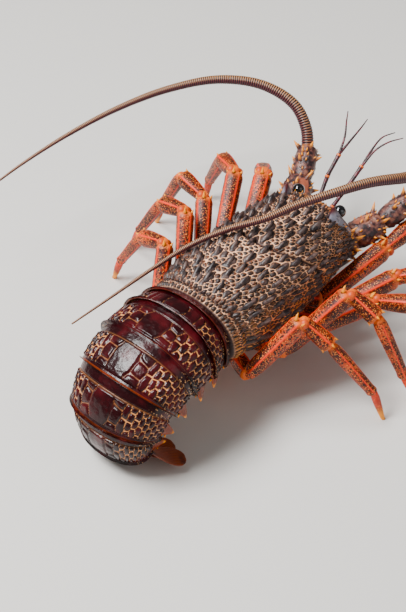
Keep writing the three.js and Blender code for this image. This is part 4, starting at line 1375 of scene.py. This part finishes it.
def centripetal(points, count):
    """Evenly spaced points on a centripetal Catmull-Rom curve through the points."""
    p = [np.asarray(v, float) for v in points]
    p = [2 * p[0] - p[1], *p, 2 * p[-1] - p[-2]]
    curve = []
    for a, b, c, d in zip(p, p[1:], p[2:], p[3:]):
        k = np.cumsum([0] + [math.dist(u, v) ** 0.5 for u, v in ((a, b), (b, c), (c, d))])
        t = np.linspace(k[1], k[2], CURVE_STEPS, endpoint=False)[:, None]
        ab, bc, cd = (mixed(u, v, t, k[i], k[i + 1]) for i, (u, v) in enumerate(((a, b), (b, c), (c, d))))
        abc, bcd = mixed(ab, bc, t, k[0], k[2]), mixed(bc, cd, t, k[1], k[3])
        curve.append(mixed(abc, bcd, t, k[1], k[2]))
    curve = np.concatenate([*curve, p[-2][None]])
    reach = np.concatenate([[0], np.cumsum(np.linalg.norm(np.diff(curve, axis=0), axis=1))])
    even = np.linspace(0, reach[-1], count)
    return np.stack([np.interp(even, reach, curve[:, i]) for i in range(3)], -1), even


def whip_line(path, values):
    """A line of edges through points, with its values."""
    mesh = bpy.data.meshes.new("whip_path")
    mesh.from_pydata((path * MM).tolist(), [(i, i + 1) for i in range(len(path) - 1)], [])
    for key, value in values.items():
        mesh.attributes.new(key, "FLOAT", "POINT").data.foreach_set("value", value)
    return mesh


class LOBSTER_OT_whips(bpy.types.Operator):
    """Draws the ringed whips of the antennae along their paths"""

    bl_idname = "lobster.whips"
    bl_label = "Antenna whips"

    def execute(self, context):
        sizes = context.scene.lobster_sizes
        for name in SIDES:
            path, reach = centripetal(mirrored(WHIPS[name]), WHIP_POINTS)
            share = reach / reach[-1]
            thick = sizes.whip_tip + (sizes.whip_root - sizes.whip_tip) * (1 - share) ** 1.05
            pitch = sizes.whip_ring / MM * (0.45 + 0.55 * (1 - share))
            phase = np.cumsum(np.gradient(reach) / pitch)
            ring = np.abs(np.sin(phase * math.pi)) ** 0.6
            for part, (low, high) in WHIP_PARTS.items():
                kept = (share >= low) & (share <= high)
                node = f"antenna_{name}_whip_{part}"
                line = whip_line(path[kept], {"thickness": thick[kept] * RING_FOOT, "ring": ring[kept]})
                grow(node + "_skin", line, whip_tree, "whip", {"Ring height": RING_HEIGHT}, [node])
        return {"FINISHED"}


# Antennules

ANTENNULE_JOINTS = [(128, 4.5, 66), (147, 6, 72), (160, 9, 84), (174, 10, 94)]
ANTENNULE_ROWS = [[0, 1.9, 1.9], [0.15, 1.5, 1.5], [0.85, 1.6, 1.6], [1.02, 2.0, 2.0]]
ANTENNULE_WHIPS = [
    [(174, 10, 94), (184, 13, 103), (192, 18, 108), (202, 24, 109)],
    [(174, 10, 94), (186, 9, 100), (198, 9, 104), (210, 12, 103)],
]
THREAD = {"root": 1.05, "tip": 0.35, "sides": 12, "count": 70}


def rod(start, end):
    """One rod of an antennule, with an orange end."""
    points, share, __ = limb(start, end, ANTENNULE_ROWS, rings=30, sides=20, ends=(0.8, 0.8))
    return sheet(points, tip=0.8 * smooth(0.88, 0.97, share))


def thread(points):
    """A thin, tapering whip along a curve."""
    path, reach = centripetal(points, THREAD["count"])
    along = unit(np.gradient(path, axis=0))
    broad = unit(np.cross(along, UPWARDS))
    deep = np.cross(broad, along)
    angle = circle(THREAD["sides"])[..., None]
    share = (reach / reach[-1])[:, None, None]
    radius = THREAD["root"] + (THREAD["tip"] - THREAD["root"]) * share
    radius = radius * (1 + 0.06 * np.sin(share * THREAD["count"] * 1.6))
    return sheet(path[:, None] + (broad[:, None] * np.cos(angle) + deep[:, None] * np.sin(angle)) * radius)


class LOBSTER_OT_feelers(bpy.types.Operator):
    """Builds the antennules, with their three rods and two short whips each"""

    bl_idname = "lobster.feelers"
    bl_label = "Antennules"

    def execute(self, context):
        for name, side in SIDES.items():
            joints = mirrored(ANTENNULE_JOINTS, side)
            rods = [rod(start, end) for start, end in zip(joints, joints[1:])]
            whips = [thread(mirrored(path, side)) for path in ANTENNULE_WHIPS]
            piece(f"antennule_{name}", rods + whips, "antennule")
        return {"FINISHED"}


# Legs

HIPS = [(84, 16, 37), (68, 18, 36), (52, 20, 36), (36, 22, 36), (18, 23, 36)]
THIGH_ROOTS = [(97, 35, 35), (81, 45, 37), (62, 45, 36), (43, 46, 36), (10, 41, 36)]
# Each leg's knee, its foot on the floor, and degrees that its toe slopes.
LEG_POSES = {
    "right": [
        ((154, 48.5, 52), (210, 59), 74), ((133, 72.5, 54), (168, 126), 74),
        ((102, 77, 57), (119, 139), 70), ((81, 69, 75), (89, 129), 54), ((43, 59, 72), (63, 116), 70),
    ],
    "left": [
        ((147, 56, 69), (192, 93), 74), ((131, 70, 73), (160, 122), 74), ((101, 74, 66), (114, 133), 70),
        ((76, 70, 72), (80, 129), 66), ((43, 60, 70), (47, 116), 70),
    ],
}  # fmt: skip
# Each pair's thickness, and the lengths of its wrist, shank and toe.
LEG_SIZES = [(6.8, 26, 46, 21), (6.4, 27, 51, 23), (6.2, 27, 52, 24), (6.1, 25, 50, 24), (5.8, 26, 46, 23)]
HIP_ROWS = [[0, 0.95, 0.95], [0.55, 1.05, 1.05], [1.1, 0.85, 0.85]]
THIGH_ROWS = [[-0.04, 0.6, 0.6], [0.08, 0.82, 0.9], [0.5, 0.95, 1.02], [0.88, 1, 1.08], [1, 0.82, 0.85]]
WRIST_ROWS = [[-0.1, 0.5, 0.5], [0.12, 0.7, 0.72], [0.8, 0.98, 0.96], [1, 0.75, 0.75]]
SHANK_ROWS = [[-0.04, 0.5, 0.5], [0.1, 0.68, 0.72], [0.7, 0.6, 0.62], [1, 0.5, 0.5]]
TOE_ROWS = [[-0.08, 0.4, 0.42], [0.15, 0.46, 0.5], [0.6, 0.34, 0.38]]
TOE_TIP = 1.15
TOE_BELOW = 0.12  # share of the toe that the floor cuts off flat
RIDGES = (38, 142, 218, 322)
# A knob beside the knee: how far aside and how thick, as shares of the leg's size, and how far past
# the knee, as a share of the wrist's length.
KNEE_KNOB = {"aside": 0.46, "radius": 0.58, "past": 0.05}
# Spines at the thigh's end and on the wrist: share, degrees, height, lean, radius and some lengths.
THIGH_SPINES = [(0.96, 0, 3.5, 4.5, 1.6), (0.97, 62, 1.6, 3, 1.2), (0.97, -62, 1.6, 3, 1.2)]
WRIST_SPINES = [(share, degrees, 1.8, 3, 1.3, 3.4) for share, degrees in ((0.9, 35), (0.9, -35), (0.86, 140))]


def leg_joints(name, index):
    """Hip, thigh root, knee, wrist, ankle and foot of a leg, whose wrist and shank span the rest."""
    knee, foot, slope = LEG_POSES[name][index]
    __, wrist_length, shank, toe = LEG_SIZES[index]
    knee, foot = np.array(knee, float), np.array([*foot, 0.0])
    outward = (foot - knee) * (1, 1, 0)
    reach = np.linalg.norm(outward)
    outward /= reach
    ankle_out = reach - toe * math.cos(math.radians(slope))
    drop = knee[2] - toe * math.sin(math.radians(slope))
    direct = min(math.hypot(ankle_out, drop), wrist_length + shank - 0.2)
    lift = math.acos((wrist_length**2 + direct**2 - shank**2) / (2 * wrist_length * direct))
    pitch = math.atan2(-drop, ankle_out) + lift
    wrist = knee + wrist_length * (outward * math.cos(pitch) + UPWARDS * math.sin(pitch))
    ankle = knee + outward * ankle_out - UPWARDS * drop
    return mirrored([HIPS[index], THIGH_ROOTS[index], knee, wrist, ankle, foot], SIDES[name])


def sized(rows, size):
    """Rows of a section, made as thick as the size."""
    return [[share, breadth * size, depth * size] for share, breadth, depth in rows]


def leg_part(start, end, rows, rings, near, far, ridge=0.35, power=0.85):
    """A leg segment: flat faces between four ridges, and coloured shares of its near and far ends."""
    points, share, angle = limb(start, end, rows, power=power, rings=rings, sides=48, ends=(1.5, 2))
    edge = np.max([hump(wrapped(angle - math.radians(turn)), 0, 0.15) for turn in RIDGES], axis=0)
    edge = edge * smooth(rows[0][0], rows[0][0] + 0.2, share)
    mark = smooth(1 - far, 1.0, share)
    if near:
        mark = np.maximum(mark, 1 - smooth(0.0, near, share))
    lift = ridge * edge + 0.5 * hump(share, 0.93, 0.035)
    return sheet(points, lift, edge=0.9 * edge, mark=0.8 * mark)


def leg_toe(start, end, size):
    """The slim toe, cut flat where it stands."""
    rows = [*sized(TOE_ROWS, size), [1, TOE_TIP, TOE_TIP]]
    points, share, __ = limb(
        start, end + (end - start) * TOE_BELOW, rows, sides=24, ends=(1, 0.4)
    )
    return sheet(points, edge=0.6 * (1 - share), tip=smooth(0.3, 0.8, share), mark=0.3 * share)


def knee_knobs(root, knee, wrist, size):
    """The orange knobs on both sides of a knee."""
    aside = unit(np.cross(knee - root, wrist - knee)) * size * KNEE_KNOB["aside"]
    middle = knee + (wrist - knee) * KNEE_KNOB["past"]
    radius = size * KNEE_KNOB["radius"]
    return [sheet(ball(middle + aside * sign, radius), side=0.8) for sign in (1, -1)]


def leg(name, index):
    """The upper and the lower part of a leg, and the spines on its thigh and wrist."""
    hip, root, knee, wrist, ankle, foot = leg_joints(name, index)
    size = LEG_SIZES[index][0]
    hips, thighs, wrists, shanks = (
        sized(rows, size) for rows in (HIP_ROWS, THIGH_ROWS, WRIST_ROWS, SHANK_ROWS)
    )
    upper = [
        leg_part(hip, root, hips, 36, near=0.2, far=0.1, power=1),
        leg_part(root, knee, thighs, 80, near=0, far=0.13),
    ]
    lower = [
        leg_part(knee, wrist, wrists, 46, near=0.15, far=0.2),
        leg_part(wrist, ankle, shanks, 64, near=0.06, far=0.06, ridge=0.25),
        leg_toe(ankle, foot, size),
        *knee_knobs(root, knee, wrist, size),
    ]
    spines = [limb_spine(root, knee, thighs, *spine) for spine in THIGH_SPINES]
    spines += [limb_spine(knee, wrist, wrists, *spine) for spine in WRIST_SPINES]
    return upper, lower, spines


class LOBSTER_OT_legs(bpy.types.Operator):
    """Builds the ten walking legs, with ridged segments, joint knobs and spines"""

    bl_idname = "lobster.legs"
    bl_label = "Legs"

    def execute(self, context):
        for name in SIDES:
            spines = []
            for index in range(len(LEG_SIZES)):
                upper, lower, grown = leg(name, index)
                piece(f"leg_{name}_{index + 1}_upper", upper, "leg")
                piece(f"leg_{name}_{index + 1}_lower", lower, "leg", floor=True)
                spines += grown
            spikes(f"leg_{name}_spines", spines, "leg", tip_from=0.0)
        return {"FINISHED"}


# Underside

STERNUM = {"rear": (6, 0, 37), "front": (112, 0, 39)}
STERNUM_ROWS = [[0, 20, 6], [0.08, 25, 8], [0.5, 22, 8], [0.85, 13, 8], [1, 8, 6]]
MOUTH = {"rear": (106, 0, 42), "front": (134, 0, 50)}
MOUTH_ROWS = [[0, 15, 8], [0.5, 13, 8], [1, 8, 6]]
MAXILLIPED_JOINTS = [(100, 9, 34), (128, 12, 36), (147, 11, 29), (140, 7, 19)]
MAXILLIPED_ROWS = [[0, 4, 3.6], [0.3, 4.4, 4], [1.05, 3, 2.8]]
MAXILLIPED_SIZES = ((1, UPWARDS), (0.72, UPWARDS), (0.5, RIGHTWARDS))
# Each swimmeret's place along the tail and its length, and the section that they share.
SWIMMERETS = [(14, 19), (32, 18), (52, 15), (73, 12)]
SWIMMERET_ROWS = [[0, 2.4, 1.6], [0.25, 4.6, 1.3], [0.6, 5.6, 1.1], [0.88, 4, 0.8], [1, 1.6, 0.5]]


def sternum():
    """The breastplate, in steps."""
    points, share, __ = limb(
        *mirrored(STERNUM.values()), STERNUM_ROWS, power=0.8, rings=90, sides=60
    )
    steps = np.abs(np.sin(share * math.pi * 5.5)) ** 0.3
    return sheet(points, 0.5 * (steps - 1), mark=0.3 * (1 - steps))


def mouth_frame():
    """The ribbed frame round the mouth."""
    points, share, angle = limb(*mirrored(MOUTH.values()), MOUTH_ROWS, power=0.85, sides=60)
    return sheet(points, 0.4 * np.cos(angle * 9) * share)


def maxilliped(side):
    """The three segments of a leg-like mouthpart."""
    joints = mirrored(MAXILLIPED_JOINTS, side)
    sheets = []
    for start, end, (gain, up) in zip(joints, joints[1:], MAXILLIPED_SIZES):
        points, share, angle = limb(
            start, end, sized(MAXILLIPED_ROWS, gain), up=up, rings=36, sides=28
        )
        edge = hump(np.sin(angle / 2), 0, 0.3)
        sheets.append(sheet(points, edge=edge, mark=smooth(0.85, 1, share)))
    return sheets


def swimmeret(place, length, side):
    """A leaf-like blade under the tail."""
    root = tail_surface(place, side * 17, -6)
    tip = tail_surface(place + length * 0.25, side * 14, -10 - length)
    along = unit(tail_surface(place + 5, 0, 0) - tail_surface(place, 0, 0))
    points, __, angle = limb(root, tip, SWIMMERET_ROWS, up=along, ends=(0.5, 0.8))
    return sheet(points, mark=0.5 * np.abs(np.sin(angle)) ** 4)


class LOBSTER_OT_underside(bpy.types.Operator):
    """Builds the sternum, the mouth frame, the leg-like mouthparts and the swimmerets"""

    bl_idname = "lobster.underside"
    bl_label = "Underside"

    def execute(self, context):
        piece("sternum", [sternum()], "underside")
        piece("mouth", [mouth_frame()], "underside")
        for name, side in SIDES.items():
            piece(f"maxilliped_{name}", maxilliped(side), "leg")
            for number, (place, length) in enumerate(SWIMMERETS, start=2):
                piece(f"swimmeret_{name}_{number}", [swimmeret(place, length, side)], "underside")
        return {"FINISHED"}


# Stage

# The camera's right and the way back to it, and where it aims: a place in body coordinates, and
# metres to the camera's right and up.
CAMERA_RIGHT, CAMERA_BACK = unit([-0.764, -0.645, 0.0]), unit([-0.456, 0.540, 0.7067])
CAMERA_TARGET, CAMERA_AIM = (0, 0, 90), (0.0077, -0.0065)
# Lights: where each hangs to the camera's right, its back and upwards, its size and its distance.
LIGHTS = {
    "key": ((-0.75, 0.35, 1.1), 0.45, 1.3),
    "fill": ((0.9, 0.8, 0.2), 1.2, 1.5),
    "sky": ((-0.35, -0.3, 1), 0.35, None),
}
SUN_PLACE = 2
FLOOR_REACH, FLOOR_DROP = 40.0, 0.0002
ROOM_COLOUR, ROOM_STRENGTH = (0.9, 0.89, 0.87, 1), 0.22


def set_camera(stage):
    """A camera at the photograph's angle and framing."""
    up = np.cross(CAMERA_BACK, CAMERA_RIGHT)
    target = at(*CAMERA_TARGET) * MM + CAMERA_RIGHT * CAMERA_AIM[0] + up * CAMERA_AIM[1]
    data = bpy.data.cameras.new("camera")
    data.lens = stage.lens / MM
    data.sensor_width = 36
    data.clip_end = 200
    camera = add_object("camera", data)
    turn = Matrix(np.stack([CAMERA_RIGHT, up, CAMERA_BACK], axis=1).tolist()).to_4x4()
    camera.matrix_world = Matrix.Translation(Vector(target + CAMERA_BACK * stage.distance)) @ turn
    bpy.context.scene.camera = camera


def lay_floor(stage):
    """A wide floor of matt seamless paper: no shine, so only the soft shadows show on it."""
    mesh = bpy.data.meshes.new("floor")
    corners = [(x * FLOOR_REACH, y * FLOOR_REACH, 0) for x, y in ((-1, -1), (1, -1), (1, 1), (-1, 1))]
    mesh.from_pydata(corners, [], [(0, 1, 2, 3)])
    mesh.materials.append(finish("Matt paper floor", stage.floor, [], 0.9, grain=(700, 0.02, 0.0001)))
    floor = add_object("floor", mesh)
    floor.location.z = -FLOOR_DROP


def hang_light(name, steps, size, distance, power):
    """A wide soft lamp, or a soft sun where there is no distance."""
    direction = unit(steps @ np.stack([CAMERA_RIGHT, CAMERA_BACK, UPWARDS]))
    light = bpy.data.lights.new(name, "AREA" if distance else "SUN")
    light.energy = power
    setattr(light, "size" if distance else "angle", size)
    lamp = add_object(name, light)
    lamp.location = Vector(direction * (distance or SUN_PLACE))
    lamp.rotation_euler = Vector(direction).to_track_quat("Z", "Y").to_euler()


class LOBSTER_OT_stage(bpy.types.Operator):
    """Sets the plain floor, the soft lights and the camera at the photograph's angle"""

    bl_idname = "lobster.stage"
    bl_label = "Stage"

    def execute(self, context):
        stage = context.scene.lobster_stage
        set_camera(stage)
        lay_floor(stage)
        for name, (steps, size, distance) in LIGHTS.items():
            hang_light(name, steps, size, distance, getattr(stage, name))
        world = bpy.data.worlds.new("soft room")
        world.use_nodes = True
        background = world.node_tree.nodes["Background"]
        background.inputs["Color"].default_value = ROOM_COLOUR
        background.inputs["Strength"].default_value = ROOM_STRENGTH
        context.scene.world = world
        return {"FINISHED"}


# Add-on

OPERATORS = (
    LOBSTER_OT_carapace,
    LOBSTER_OT_head,
    LOBSTER_OT_tail,
    LOBSTER_OT_fan,
    LOBSTER_OT_antennae,
    LOBSTER_OT_whips,
    LOBSTER_OT_feelers,
    LOBSTER_OT_legs,
    LOBSTER_OT_underside,
    LOBSTER_OT_stage,
)
GROUPS = {
    "lobster_sizes": LobsterSizes,
    "lobster_colours": LobsterColours,
    "lobster_stage": LobsterStage,
}


class LOBSTER_PT_panel(bpy.types.Panel):
    """Lists the lobster's pieces and settings"""

    bl_idname = "LOBSTER_PT_panel"
    bl_label = "Spiny rock lobster"
    bl_space_type = "VIEW_3D"
    bl_region_type = "UI"
    bl_category = "Lobster"

    def draw(self, context):
        for group in GROUPS:
            settings = getattr(context.scene, group)
            box = self.layout.box()
            for name in settings.__annotations__:
                box.prop(settings, name)
        for operator in OPERATORS:
            self.layout.operator(operator.bl_idname)


CLASSES = (*GROUPS.values(), *OPERATORS, LOBSTER_PT_panel)


def register():
    for item in CLASSES:
        bpy.utils.register_class(item)
    for name, group in GROUPS.items():
        setattr(bpy.types.Scene, name, PointerProperty(type=group))


def unregister():
    for name in GROUPS:
        delattr(bpy.types.Scene, name)
    for item in reversed(CLASSES):
        bpy.utils.unregister_class(item)


def main():
    register()
    for operator in OPERATORS:
        group, name = operator.bl_idname.split(".")
        getattr(getattr(bpy.ops, group), name)()
    bpy.context.view_layer.update()


if __name__ == "__main__":
    main()
